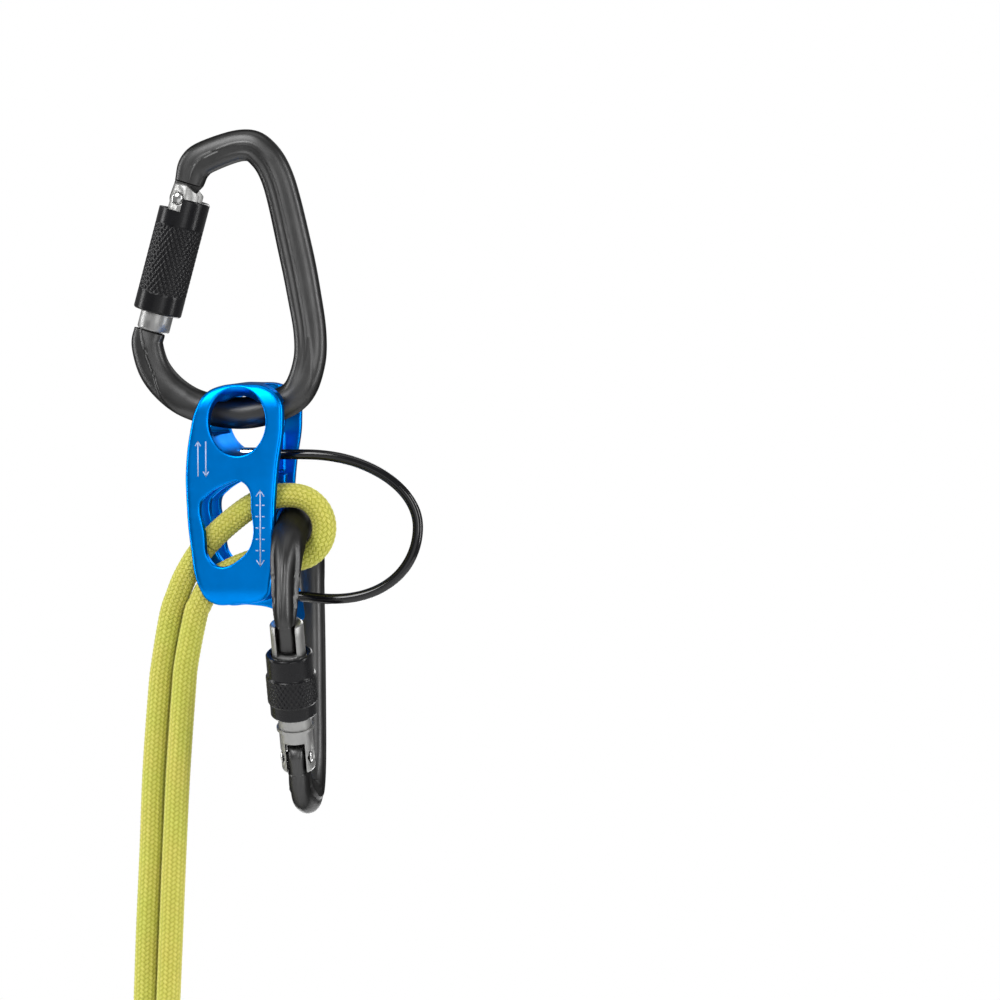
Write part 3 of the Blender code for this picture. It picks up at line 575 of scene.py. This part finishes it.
def bight():
    """Half turn of the rope round the brake carabiner's bar."""
    return [(BRAKE_BAR.x + BIGHT_RADIUS * cos(turn), SLOT_Y, BRAKE_BAR.z + BIGHT_RADIUS * sin(turn))
            for turn in (pi / 2 - pi * i / 6 for i in range(7))]


def node_material(name, colour, roughness, metallic=0.0):
    """Principled material with its own node tree; returns it with the shader and the two lists."""
    look = bpy.data.materials.new(name)
    look.use_nodes = True
    look.diffuse_color = (*colour, 1)
    nodes, links = look.node_tree.nodes, look.node_tree.links
    shader = nodes["Principled BSDF"]
    shader.inputs["Base Color"].default_value = (*colour, 1)
    shader.inputs["Roughness"].default_value = roughness
    shader.inputs["Metallic"].default_value = metallic
    return look, shader, nodes, links


def noise(nodes, links, scale, detail=3.0):
    """Noise in object space, in cells per metre."""
    place = nodes.new("ShaderNodeTexCoord")
    texture = nodes.new("ShaderNodeTexNoise")
    texture.inputs["Scale"].default_value = scale
    texture.inputs["Detail"].default_value = detail
    links.new(place.outputs["Object"], texture.inputs["Vector"])
    return texture.outputs["Fac"]


def ramp(nodes, links, source, stops):
    """Colour ramp from (position, colour) stops."""
    found = nodes.new("ShaderNodeValToRGB")
    while len(found.color_ramp.elements) < len(stops):
        found.color_ramp.elements.new(0.5)
    for element, (position, colour) in zip(found.color_ramp.elements, stops):
        element.position = position
        element.color = (*colour, 1)
    links.new(source, found.inputs["Fac"])
    return found.outputs["Color"]


def spread(nodes, links, source, low, high):
    """Map the usual range of a noise to low to high."""
    found = nodes.new("ShaderNodeMapRange")
    found.inputs["From Min"].default_value = NOISE_RANGE[0]
    found.inputs["From Max"].default_value = NOISE_RANGE[1]
    found.inputs["To Min"].default_value = low
    found.inputs["To Max"].default_value = high
    links.new(source, found.inputs["Value"])
    return found.outputs["Result"]


def bump(nodes, links, shader, source, strength, distance):
    """Let a height value tilt the shader's normal; distance is in metres."""
    found = nodes.new("ShaderNodeBump")
    found.inputs["Strength"].default_value = strength
    found.inputs["Distance"].default_value = distance
    links.new(source, found.inputs["Height"])
    links.new(found.outputs["Normal"], shader.inputs["Normal"])


def surface(name, dark, light, rough, metallic, grain=9000.0, depth=0.000012, specular=0.5, rim=1.0):
    """Metal or plastic: mottled colour, uneven gloss and a fine grain; rim is its gloss at a glance."""
    look, shader, nodes, links = node_material(name, light, sum(rough) / 2, metallic)
    mottle = noise(nodes, links, MOTTLE_SCALE, MOTTLE_DETAIL)
    colour = ramp(nodes, links, mottle, list(zip(NOISE_RANGE, (dark, light))))
    links.new(colour, shader.inputs["Base Color"])
    links.new(spread(nodes, links, noise(nodes, links, GLOSS_SCALE), *rough), shader.inputs["Roughness"])
    shader.inputs["Specular IOR Level"].default_value = specular
    shader.inputs["Specular Tint"].default_value = (rim, rim, rim, 1)
    bump(nodes, links, shader, noise(nodes, links, grain, GRAIN_DETAIL), GRAIN_STRENGTH, depth)
    return look


def rope_material():
    """Nylon yarn: colour from the braid's own attribute, each yarn's random tone times painted shade that
    darkens the braid's low places, with fine filaments.
    """
    look, shader, nodes, links = node_material("rope_sheath", ROPE_COLOUR, ROPE_ROUGHNESS)
    # This attribute holds painted shade from the braid's height, times each yarn's own random tone
    yarn_tone_and_shade = nodes.new("ShaderNodeAttribute")
    yarn_tone_and_shade.attribute_name = "yarn"
    colour = ramp(nodes, links, yarn_tone_and_shade.outputs["Fac"], ROPE_TONE_AND_SHADE_STOPS)
    patch = ramp(nodes, links, noise(nodes, links, ROPE_PATCH_SCALE), ROPE_PATCHES)
    mix = nodes.new("ShaderNodeMix")
    mix.data_type = "RGBA"
    mix.blend_type = "MULTIPLY"
    mix.inputs["Factor"].default_value = 1.0
    links.new(colour, mix.inputs["A"])
    links.new(patch, mix.inputs["B"])
    links.new(mix.outputs["Result"], shader.inputs["Base Color"])
    shader.inputs["Sheen Weight"].default_value = ROPE_SHEEN
    shader.inputs["Sheen Roughness"].default_value = ROPE_SHEEN_ROUGHNESS
    filaments = noise(nodes, links, FILAMENT_SCALE, GRAIN_DETAIL)
    bump(nodes, links, shader, filaments, FILAMENT_STRENGTH, FILAMENT_DEPTH)
    return look


def drill_pivot(obj, place):
    """Hole for the rivet, right through."""
    drill = rod(PIVOT - NORMAL * CUT_REACH, PIVOT + NORMAL * CUT_REACH, RIVET_RADIUS + GAP, HOLE_SIDES)
    cut(obj, finish_mesh("hole", drill, place))


def pear_body(name, nose_reach, place):
    """Forged frame: grooved spine, stepped shoulders and tongues."""
    rings = []
    for turn in map(radians, EYE_TURNS):
        centre = on_gate(GATE_LENGTH - HINGE_EYE_RADIUS * cos(turn), PIVOT_OFFSET)
        rings.append(section(centre, INWARD, HINGE_EYE_RADIUS * sin(turn), TONGUE_HALF))
    for t, inward, half_width in HINGE_NECK:
        rings.append(section(on_gate(t, inward), INWARD, half_width, TONGUE_HALF))
    for rise, part in SHOULDER_RISE:
        depth = TONGUE_HALF + (SHOULDER_SECTION[1] - TONGUE_HALF) * part
        rings.append(section(on_gate(SHOULDER_T - rise, SHOULDER_SHIFT), INWARD, SHOULDER_HALF_WIDTH, depth))
    start = on_gate(SHOULDER_T, SHOULDER_SHIFT)
    end = on_gate(LEDGE_T, LEDGE_SHIFT)
    stations = [(start.x, 0, start.z, *SHOULDER_SECTION)]
    stations += [(x, 0, z, *form) for x, z, *form in FRAME_STATIONS]
    stations += [(end.x, 0, end.z, *LEDGE_SECTION)]
    route = smooth_route(stations, BODY_RINGS)
    for index, station in enumerate(route):
        ahead = Vector(route[min(index + 2, len(route) - 1)][:3])
        behind = Vector(route[max(index - 2, 0)][:3])
        tangent = (ahead - behind).normalized()
        side = Vector((tangent.z, 0, -tangent.x))
        half_width, half_depth, valley, recess, ridge = station[3:]
        valley, recess = max(valley, 0), max(recess, 0)
        squareness = 2 + min(MOST_SQUARENESS, abs(half_width - half_depth) + valley + recess)
        rings.append(section(Vector(station[:3]), side, half_width, half_depth, valley, recess, ridge,
                             squareness))
    for past, inward, half_width, depth in LEDGE_STEPS:
        rings.append(section(on_gate(LEDGE_T + past, inward), INWARD, half_width, depth))
    for short, half_width, loss in NOSE_STEPS:
        rings.append(section(on_gate(nose_reach - short, NOSE_SHIFT), INWARD, half_width, TONGUE_HALF - loss))
    body = finish_mesh(name, ring_loft(rings), place)
    drill_pivot(body, place)
    body.data.shade_smooth()
    body.data.set_sharp_from_angle(angle=FRAME_CREASE)
    return body


def round_gate(name, radius, nose_reach, place):
    """Turned bar, forked at the hinge, slotted at the nose and bored for its spring."""
    profile = [(t, radius - loss) for t, loss in GATE_NOSE_ROUND]
    profile += [(t, radius) for t in GATE_RING_T]
    profile += [(FORK_END_T - t, radius - loss) for t, loss in GATE_HEEL_ROUND]
    body = finish_mesh(name, turned(on_gate(0), on_gate(FORK_END_T), profile, TURNED_SIDES), place)
    drill_pivot(body, place)
    for face in (-1, 1):
        spot = rod(PIVOT + NORMAL * face * (radius - SPOT_FACE_DEPTH), PIVOT + NORMAL * face * CUT_REACH,
                   SPOT_FACE_RADIUS, HOLE_SIDES)
        cut(body, finish_mesh("spot", spot, place))
    for low_t, high_t, inner in ((FORK_T, FORK_CUT_END_T, CUT_REACH),
                                 (NOSE_CUT_START_T, nose_reach + NOSE_CLEARANCE, NOSE_SLOT_INNER)):
        corners = ((-CUT_REACH, -SLOT_HALF), (inner, -SLOT_HALF), (inner, SLOT_HALF), (-CUT_REACH, SLOT_HALF))
        rings = [[on_gate(t, u, v) for u, v in corners] for t in (low_t, high_t)]
        cut(body, finish_mesh("slot", ring_loft(rings), place))
    heel = ring_loft([[on_gate(t, u, v) for t, u in FORK_HEEL] for v in (-CUT_REACH, CUT_REACH)])
    cut(body, finish_mesh("heel", heel, place))
    bore = rod(on_gate(BORE_START_T), on_gate(FORK_T + BORE_PAST_FORK), BORE_RADIUS, BORE_SIDES)
    cut(body, finish_mesh("bore", bore, place))
    return soften(body, GATE_EDGE, GATE_EDGE_SEGMENTS, GATE_EDGE_ANGLE)


def quarter_turn(steps=8):
    """Angles from nothing to a right angle, both included."""
    return [pi / 2 * i / steps for i in range(steps + 1)]


def rivet(name, gate_radius, place):
    """Hinge pin with a domed head on each face of the gate."""
    head = RIVET_HEAD_HEIGHT
    half = gate_radius - SPOT_FACE_DEPTH + GAP + head
    dome = [(head * (1 - cos(turn)),
             RIVET_HEAD_RADIUS * (RIVET_CROWN_FLAT + (1 - RIVET_CROWN_FLAT) * sin(turn)))
            for turn in quarter_turn()]
    dome.append((head, RIVET_RADIUS))
    profile = dome + [(2 * half - distance, radius) for distance, radius in dome[::-1]]
    return finish_mesh(name, turned(PIVOT - NORMAL * half, PIVOT + NORMAL * half, profile, HOLE_SIDES), place)


def knurl_height(turn, distance, lines, pitch):
    """Diamond points where two families of grooves cross."""
    a = turn * lines / (2 * pi)
    b = distance / pitch
    first = abs((a + b) % 1.0 - 0.5) * 2
    second = abs((a - b) % 1.0 - 0.5) * 2
    return KNURL_DEPTH * (min(1.0, (1 - first) * KNURL_FLAT) + min(1.0, (1 - second) * KNURL_FLAT)) / 2


def knurled_sleeve(name, start, outline, bore, zone, lines, pitch, sides, place=None):
    """Tube whose outside follows (distance, radius) points, knurled between the two distances of its zone."""
    length = outline[-1][0]
    count = int(length / KNURL_STEP)
    bm = bmesh.new()
    place_on = frame_along(on_gate(start), on_gate(start + length))
    rings = []

    def ring_at(distance, radius_of):
        return [bm.verts.new(place_on @ Vector((radius_of(a) * cos(a), radius_of(a) * sin(a), distance)))
                for a in around(sides)]

    for index in range(count + 1):
        distance = length * index / count
        radius = float(np.interp(distance, [d for d, r in outline], [r for d, r in outline]))
        blend = max(0.0, min(1.0, min(distance - zone[0], zone[1] - distance) / KNURL_FADE))
        rings.append(ring_at(distance, lambda a: radius - blend * (
            KNURL_DEPTH - knurl_height(a, distance, lines, pitch))))
    lip = outline[0][1] - SLEEVE_LIP
    mouth, full = MOUTH_DEPTHS
    for distance, radius in ((length, lip), (length - mouth, bore + MOUTH_FLARE), (length - full, bore),
                             (full, bore), (mouth, bore + MOUTH_FLARE), (0, lip)):
        rings.append(ring_at(distance, lambda a: radius))
    skin(bm, rings, closed=True)
    obj = finish_mesh(name, bm, place)
    obj.data.set_sharp_from_angle(angle=KNURL_CREASE)
    return obj


def plate_body():
    """Three-walled plate: softly rounded outside, cut by its slots, tunnel, eye and window."""
    body = finish_mesh("plate", outline_prism(PLATE_OUTLINE, -PLATE_DEPTH, PLATE_DEPTH, edge=PLATE_EDGE))
    horn = outline_prism(HORN_OUTLINE, HORN_FRONT_Y, PLATE_DEPTH - HORN_EDGE, HORN_FINENESS, HORN_EDGE)
    cut(body, finish_mesh("horn", horn), "UNION")
    cut(body, finish_mesh("groove", ring_loft(groove_rings())))
    tunnel = box((CUT_X[0], -TUNNEL_HALF, TUNNEL_Z[0]), (CUT_X[1], TUNNEL_HALF, TUNNEL_Z[1]))
    cut(body, finish_mesh("tunnel", tunnel))
    web_end = box((WEB_END_X, -WEB_END_HALF, WEB_Z[0]), (CUT_X[1], WEB_END_HALF, WEB_Z[1]))
    cut(body, finish_mesh("web_end", web_end))
    cut(body, finish_mesh("eye", eye_cutter()))
    for low, high in ((-TUNNEL_HALF, -SLOT_EDGE), (SLOT_EDGE, TUNNEL_HALF)):
        sides = [[Vector((x, y, z)) for x, z in SLOT_OUTLINE] for y in (low, high)]
        cut(body, finish_mesh("slot", ring_loft(sides)))
    cut(body, finish_mesh("window", outline_prism(WINDOW_OUTLINE, -PLATE_DEPTH - 2, PLATE_DEPTH + 2)))
    for z in (KEEPER_TOP_Z, KEEPER_LOW_Z):
        hole = rod((FERRULE_X[1] - 1, 0, z), (KEEPER_HOLE_END_X, 0, z), KEEPER_RADIUS + GAP, POCKET_SIDES)
        cut(body, finish_mesh("hole", hole))
        pocket = rod((FERRULE_X[0] - POCKET_BEHIND, 0, z), (FERRULE_X[1] + POCKET_AHEAD, 0, z),
                     FERRULE_RADIUS + GAP, POCKET_SIDES)
        cut(body, finish_mesh("pocket", pocket))
    seat = [brake_place() @ (bar_point(shift) * MM) / MM for shift in SEAT_SHIFTS]
    cut(body, finish_mesh("seat", round_sweep(seat, BAR_RADIUS * BRAKE_SCALE + SEAT_GAP, HOLE_SIDES)))
    remesh = body.modifiers.new("skin", "REMESH")
    remesh.mode = "VOXEL"
    remesh.voxel_size = PLATE_VOXEL * MM
    ease = body.modifiers.new("ease", "SMOOTH")
    ease.factor = 0.5
    ease.iterations = PLATE_EASING
    apply_modifiers(body)
    curl_ends(body.data)
    body.data.shade_smooth()
    return body


def curl_ends(mesh):
    """Draw both faces of the plate inwards towards its top and its foot."""
    points = np.empty(len(mesh.vertices) * 3, dtype=np.float32)
    mesh.vertices.foreach_get("co", points)
    points = points.reshape(-1, 3)
    z = points[:, 2] / MM
    bend = PLATE_TOP_BEND[1] * np.clip(z - PLATE_TOP_BEND[0], 0, None) ** 2
    foot = np.clip(z, PLATE_OUTLINE[10][1], None)
    bend += PLATE_FOOT_BEND[1] * np.clip(PLATE_FOOT_BEND[0] - foot, 0, None) ** 2
    share = np.clip((np.abs(points[:, 1]) / MM - TUNNEL_HALF) / WALL, 0, 1)
    points[:, 1] -= np.sign(points[:, 1]) * bend * share * MM
    mesh.vertices.foreach_set("co", points.reshape(-1))
    mesh.update()


def stroke(bm, points):
    """Thin flat ribbon through (x, z) points on the plate's front face."""
    loops = []
    for index, (x, z) in enumerate(points):
        before, after = points[max(index - 1, 0)], points[min(index + 1, len(points) - 1)]
        along = Vector((after[0] - before[0], 0, after[1] - before[1])).normalized()
        side = Vector((-along.z, 0, along.x)) * MARK_WIDTH / 2
        centre = Vector((x, -PLATE_DEPTH, z))
        loops.append([bm.verts.new(centre + side * a + NORMAL * b) for a, b in
                      ((-1, MARK_HEIGHT), (1, MARK_HEIGHT), (1, -MARK_HEIGHT), (-1, -MARK_HEIGHT))])
    skin(bm, loops)


def arrow_head(bm, x, tip, half, back):
    """Open arrow head: half is how wide it spreads, back how far its barbs lie from the tip."""
    stroke(bm, [(x - half, tip + back), (x, tip), (x + half, tip + back)])


def etched_marks():
    """Two plain arrows on the left of the face, and a ruled double arrow up its right side."""
    bm = bmesh.new()
    for x, tip, tail in MARK_ARROWS:
        stroke(bm, [(x, tail), (x, tip)])
        arrow_head(bm, x, tip, ARROW_HEAD[0], ARROW_HEAD[1] if tail > tip else -ARROW_HEAD[1])
    stroke(bm, [(RULE_X, z) for z in RULE_Z])
    for end, turn in zip(RULE_Z, (-1, 1)):
        arrow_head(bm, RULE_X, end, RULE_HEAD[0], RULE_HEAD[1] * turn)
    near, far = RULE_TICK_X
    for step in range(RULE_TICKS):
        z = RULE_FIRST_TICK - RULE_TICK_STEP * step
        stroke(bm, [(RULE_X - far, z), (RULE_X - near, z)])
        stroke(bm, [(RULE_X + near, z), (RULE_X + far, z)])
    return finish_mesh("face_marks", bm)


def round_sweep(points, radius, sides):
    """Round tube along any open line, as rings square to it."""
    rings = []
    for index, point in enumerate(points):
        tangent = (points[min(index + 1, len(points) - 1)] - points[max(index - 1, 0)]).normalized()
        side = tangent.cross(Vector((0.0, 0.13, 0.99)) if abs(tangent.y) > 0.9 else NORMAL).normalized()
        up = side.cross(tangent)
        rings.append([point + (side * cos(turn) + up * sin(turn)) * radius for turn in around(sides)])
    return ring_loft(rings)


def keeper_line():
    """Centre line of the cable: out of the upper hole, round, and back into the lower one."""
    middle = (KEEPER_TOP_Z + KEEPER_LOW_Z) / 2
    half = (KEEPER_TOP_Z - KEEPER_LOW_Z) / 2
    start = FERRULE_X[1] + GAP
    straight = [start + (KEEPER_FROM_X - start) * i / KEEPER_STRAIGHT_STEPS
                for i in range(KEEPER_STRAIGHT_STEPS)]
    points = [Vector((x, 0, KEEPER_TOP_Z)) for x in straight]
    for i in range(KEEPER_ARC_STEPS + 1):
        turn = pi / 2 - pi * i / KEEPER_ARC_STEPS
        sag = KEEPER_SAG * max(0, sin(-2 * turn))
        points.append(Vector((KEEPER_FROM_X + KEEPER_REACH * cos(turn), 0, middle + half * sin(turn) - sag)))
    return points + [Vector((x, 0, KEEPER_LOW_Z)) for x in straight[::-1]]


def braid_height(around, along):
    """Height of a braid of bundles that pass over two and under two, 1 on a yarn's crown; and yarn tones."""
    p = BRAID_CARRIERS * around + along / BRAID_PITCH
    q = BRAID_CARRIERS * around - along / BRAID_PITCH
    i, j = np.floor(p), np.floor(q)
    phase = np.mod(i + j, 4)
    first_on_top = phase < 2
    across = np.where(first_on_top, p - i, q - j)
    forward = np.where(first_on_top, q - j + phase, p - i + phase - 2) / 2
    strand = across * BRAID_YARNS
    crown = np.sqrt(np.clip(1 - np.abs(2 * np.mod(strand, 1.0) - 1) ** YARN_FULLNESS, 0, 1))
    edge = np.clip(np.minimum(across, 1 - across) / BUNDLE_EDGE, 0, 1)
    rise = BRAID_LOW + (1 - BRAID_LOW) * np.sin(pi * forward) ** YARN_ARCH
    bundle = np.where(first_on_top, i, j + SECOND_FAMILY)
    yarn = bundle * BRAID_YARNS + np.floor(strand)
    tone = TONE_LOW + TONE_RANGE * np.mod(np.abs(np.sin(yarn * TONE_HASH[0])) * TONE_HASH[1], 1.0)
    return (BRAID_LOW + (1 - BRAID_LOW) * crown) * (0.5 + 0.5 * edge) * rise, tone


def braided_rope(name, route):
    """Rope skin with the braid in its shape, its path and length in metres, and the line it follows."""
    length = sum((Vector(b) - Vector(a)).length for a, b in zip(route, route[1:]))
    line = smooth_route(route, int(length / BRAID_STEP))
    centre = np.array(line)
    tangent = np.gradient(centre, axis=0)
    tangent /= np.linalg.norm(tangent, axis=1)[:, None]
    side = np.cross(tangent, np.array((0.0, 1.0, 0.0)))
    side /= np.linalg.norm(side, axis=1)[:, None]
    up = np.cross(side, tangent)
    step = np.linalg.norm(np.diff(centre, axis=0), axis=1)
    along = np.concatenate(([0.0], np.cumsum(step)))
    turn = np.arange(BRAID_SIDES) / BRAID_SIDES
    height, tone = braid_height(turn[None, :], along[:, None])
    reach = ROPE_RADIUS - BRAID_DEPTH * (1 - height)
    ring = (side[:, None, :] * np.cos(2 * pi * turn)[None, :, None]
            + up[:, None, :] * np.sin(2 * pi * turn)[None, :, None])
    points = (centre[:, None, :] + ring * reach[:, :, None]).reshape(-1, 3) * MM
    rows, sides = len(centre), BRAID_SIDES
    near = np.arange((rows - 1) * sides).reshape(rows - 1, sides)
    after = np.roll(near, -1, axis=1)
    quads = np.stack((near, after, after + sides, near + sides), axis=-1).reshape(-1, 4)
    faces = quads.tolist() + [list(range(sides))[::-1], list(range((rows - 1) * sides, rows * sides))]
    mesh = bpy.data.meshes.new(name)
    mesh.from_pydata(points.tolist(), [], faces)
    mesh.update()
    # Colour attribute: the braid's height is painted shade, darker down in the gaps between yarns and
    # bundles, times each yarn's random tone
    shade = mesh.attributes.new("yarn", "FLOAT", "POINT")
    shade.data.foreach_set("value", np.clip(height * tone, 0, 1).reshape(-1).astype(np.float32))
    mesh.shade_smooth()
    check = bmesh.new()
    check.from_mesh(mesh)
    bmesh.ops.recalc_face_normals(check, faces=check.faces)
    check.to_mesh(mesh)
    check.free()
    obj = bpy.data.objects.new(name, mesh)
    bpy.context.scene.collection.objects.link(obj)
    measured = float(step.sum()) * MM
    return obj, [tuple(c * MM for c in p) for p in line[::PATH_STEP] + [line[-1]]], measured, line


def hang_rope(name, route, cap_name):
    """One strand with its braid and its shrunk end, both riding on the plate."""
    obj, path, length, line = braided_rope(name + "_braid", route)
    end = Vector(line[-1])
    direction = (end - Vector(line[-2])).normalized()
    start = end + direction * GAP
    profile = [(d, END_CAP_RADIUS - loss) for d, loss in CAP_START_ROUND]
    profile += [(d, END_CAP_RADIUS - CAP_RIPPLE_DROP + CAP_RIPPLE * cos(d * CAP_RIPPLE_RATE))
                for d in CAP_RIPPLE_T]
    profile += [(END_CAP_LENGTH - CAP_TIP_LENGTH + CAP_TIP_LENGTH * sin(a),
                 END_CAP_RADIUS - CAP_TIP_DROP + CAP_TIP_ROUND * cos(a)) for a in quarter_turn()]
    shrink = turned(start, start + direction * END_CAP_LENGTH, profile, HOLE_SIDES)
    cap = finish_mesh(cap_name + "_shrink", shrink)
    stand_for(obj, name, "belay_plate", ROPE)
    stand_for(cap, cap_name, "belay_plate", SHRINK)


def make_camera():
    """Long lens from the right of square-on, a little above, framed wide of the rig."""
    heading, rise = radians(CAMERA_AZIMUTH), radians(CAMERA_RISE)
    target = Vector(CAMERA_TARGET) * MM
    away = Vector((sin(heading) * cos(rise), -cos(heading) * cos(rise), sin(rise)))
    data = bpy.data.cameras.new("camera")
    data.lens = SENSOR_WIDTH * CAMERA_DISTANCE / CAMERA_WIDTH
    data.clip_end = CAMERA_CLIP_END
    camera = bpy.data.objects.new("camera", data)
    bpy.context.scene.collection.objects.link(camera)
    camera.location = target + away * CAMERA_DISTANCE
    camera.rotation_euler = (-away).to_track_quat("-Z", "Y").to_euler()
    bpy.context.scene.camera = camera


def area_light(name, place, aim, size, power):
    """Soft rectangular light that the camera doesn't see."""
    data = bpy.data.lights.new(name, "AREA")
    data.shape = "RECTANGLE"
    data.size, data.size_y = size
    data.energy = power
    lamp = bpy.data.objects.new(name, data)
    bpy.context.scene.collection.objects.link(lamp)
    lamp.location = place
    lamp.visible_camera = False
    lamp.rotation_euler = (Vector(aim) - Vector(place)).to_track_quat("-Z", "Y").to_euler()


def make_studio():
    """Pale round floor below the rope's ends, a white surround and soft lights in a dim room."""
    disc = turned((0, 0, 0), (0, 0, 1), [(d, FLOOR_RADIUS / MM) for d in (0, 1)], TURNED_SIDES)
    floor_paper = finish_mesh("floor", disc)
    floor_paper.location = (0, 0, FLOOR_Z)
    look, shader, nodes, links = node_material("floor_paper", FLOOR_COLOUR, FLOOR_ROUGHNESS)
    shade = ramp(nodes, links, noise(nodes, links, FLOOR_NOISE_SCALE), list(zip(NOISE_RANGE, FLOOR_SHADES)))
    links.new(shade, shader.inputs["Base Color"])
    floor_paper.data.materials.append(look)
    world = bpy.data.worlds.new("studio")
    bpy.context.scene.world = world
    world.use_nodes = True
    nodes, links = world.node_tree.nodes, world.node_tree.links
    sky = nodes["Background"]
    sky.inputs["Color"].default_value = (1, 1, 1, 1)
    ray = nodes.new("ShaderNodeLightPath")
    level = nodes.new("ShaderNodeMapRange")
    level.inputs["To Min"].default_value = ROOM_STRENGTH
    level.inputs["To Max"].default_value = SURROUND_STRENGTH
    links.new(ray.outputs["Is Camera Ray"], level.inputs["Value"])
    links.new(level.outputs["Result"], sky.inputs["Strength"])
    for light in LIGHTS:
        area_light(*light)
    bpy.context.scene.view_settings.view_transform = "Standard"


make_camera()
make_studio()
TITANIUM = surface("dark_titanium", dark=(0.066, 0.066, 0.066), light=(0.082, 0.082, 0.082),
                   rough=(0.36, 0.42), metallic=1.0, depth=0.000006, rim=0.3)
GATE = surface("tumbled_gate", dark=(0.30, 0.30, 0.298), light=(0.38, 0.38, 0.37), rough=(0.38, 0.48),
               metallic=1.0, grain=6000.0)
SLEEVE = surface("black_anodise", dark=(0.003, 0.003, 0.004), light=(0.006, 0.006, 0.007),
                 rough=(0.24, 0.30), metallic=0.0, depth=0.000003, specular=0.25)
STEEL = surface("polished_steel", dark=(0.62, 0.62, 0.62), light=(0.78, 0.78, 0.77), rough=(0.12, 0.22),
                metallic=1.0, grain=3000.0, depth=0.000004)
BLUE = surface("blue_anodise", dark=(0.0, 0.205, 0.70), light=(0.0, 0.235, 0.79), rough=(0.30, 0.36),
               metallic=1.0, grain=7000.0, depth=0.000003, rim=0.3)
MARK = surface("etched_mark", dark=(0.36, 0.45, 0.66), light=(0.42, 0.52, 0.74), rough=(0.5, 0.6),
               metallic=0.3)
CABLE = surface("cable_sheath", dark=(0.002, 0.002, 0.003), light=(0.004, 0.004, 0.005),
                rough=(0.10, 0.14), metallic=0.0, grain=1500.0, depth=0.0)
SHRINK = surface("heat_shrink", dark=(0.010, 0.010, 0.010), light=(0.020, 0.020, 0.020),
                 rough=(0.4, 0.55), metallic=0.0, grain=1200.0, depth=0.00003)
ROPE = rope_material()

hang_rope("rope_climber_strand", CLIMBER_ROUTE, "climber_rope_end")
hang_rope("rope_brake_strand", BRAKE_UPPER + bight() + BRAKE_LOWER, "brake_rope_end")

for prefix, radius, reach, place in (("anchor", ANCHOR_GATE_RADIUS, ANCHOR_NOSE_REACH, None),
                                     ("brake", BRAKE_GATE_RADIUS, BRAKE_NOSE_REACH, brake_place())):
    hanger = prefix + "_carabiner"
    stand_for(pear_body(prefix + "_frame", reach, place), hanger + "_body", hanger, TITANIUM)
    stand_for(round_gate(prefix + "_round_gate", radius, reach, place), prefix + "_gate", prefix + "_gate",
              GATE)
    stand_for(rivet(prefix + "_rivet", radius, place), prefix + "_gate_rivet", hanger, STEEL)

s = ANCHOR_SLEEVE
tall = s["end"] - s["start"]
outline = [(0, s["radius"] - ANCHOR_CHAMFER), (ANCHOR_CHAMFER, s["radius"]),
           (tall - ANCHOR_CHAMFER, s["radius"]), (tall, s["radius"] - ANCHOR_CHAMFER)]
twist_sleeve = knurled_sleeve("twist_sleeve", s["start"], outline, s["bore"], **ANCHOR_KNURL)
reach = SLEEVE_NOTCH_REACH
rings = [[on_gate(t, u, v) for u, v in ((-reach, -reach), (STEP_INNER, -reach), (STEP_INNER, reach),
                                        (-reach, reach))] for t in (SLEEVE_NOTCH_T, SLEEVE_NOTCH_END_T)]
cut(twist_sleeve, finish_mesh("step", ring_loft(rings)))
twist_sleeve.data.set_sharp_from_angle(angle=KNURL_CREASE)
stand_for(twist_sleeve, "anchor_sleeve", "anchor_sleeve", SLEEVE)

s = SCREW_SLEEVE
tall = s["end"] - s["start"]
low, high = s["band_from"] - s["start"], s["band_to"] - s["start"]
outline = [(0, s["radius"] - SCREW_CHAMFER), (SCREW_CHAMFER, s["radius"]), (low - BAND_SLOPE, s["radius"]),
           (low, s["band"]), (high, s["band"]), (high + BAND_SLOPE, s["radius"]),
           (tall - SCREW_CHAMFER, s["radius"]), (tall, s["radius"] - SCREW_CHAMFER)]
screw_lock = knurled_sleeve("screw_lock", s["start"], outline, s["bore"], (low, high), place=brake_place(),
                            **SCREW_KNURL)
stand_for(screw_lock, "screw_sleeve", "screw_sleeve", SLEEVE)

stand_for(plate_body(), "belay_plate", "belay_plate", BLUE)
marks = etched_marks()
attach(marks, "belay_plate")
marks.data.materials.append(MARK)
keeper_cover = finish_mesh("keeper_cover", round_sweep(keeper_line(), KEEPER_RADIUS, HOLE_SIDES))
stand_for(keeper_cover, "keeper_sheath", "belay_plate", CABLE)

# The small pieces stay as the frame's own shapes.
for node in ("anchor_gate_plunger", "anchor_gate_spring", "anchor_sleeve_ring", "anchor_sleeve_spring",
             "keeper_wire", "keeper_ferrule_upper", "keeper_ferrule_lower", "brake_gate_plunger",
             "brake_gate_spring", "sleeve_stop_ring"):
    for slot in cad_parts[node].material_slots:
        slot.material = GATE if node == "sleeve_stop_ring" else STEEL
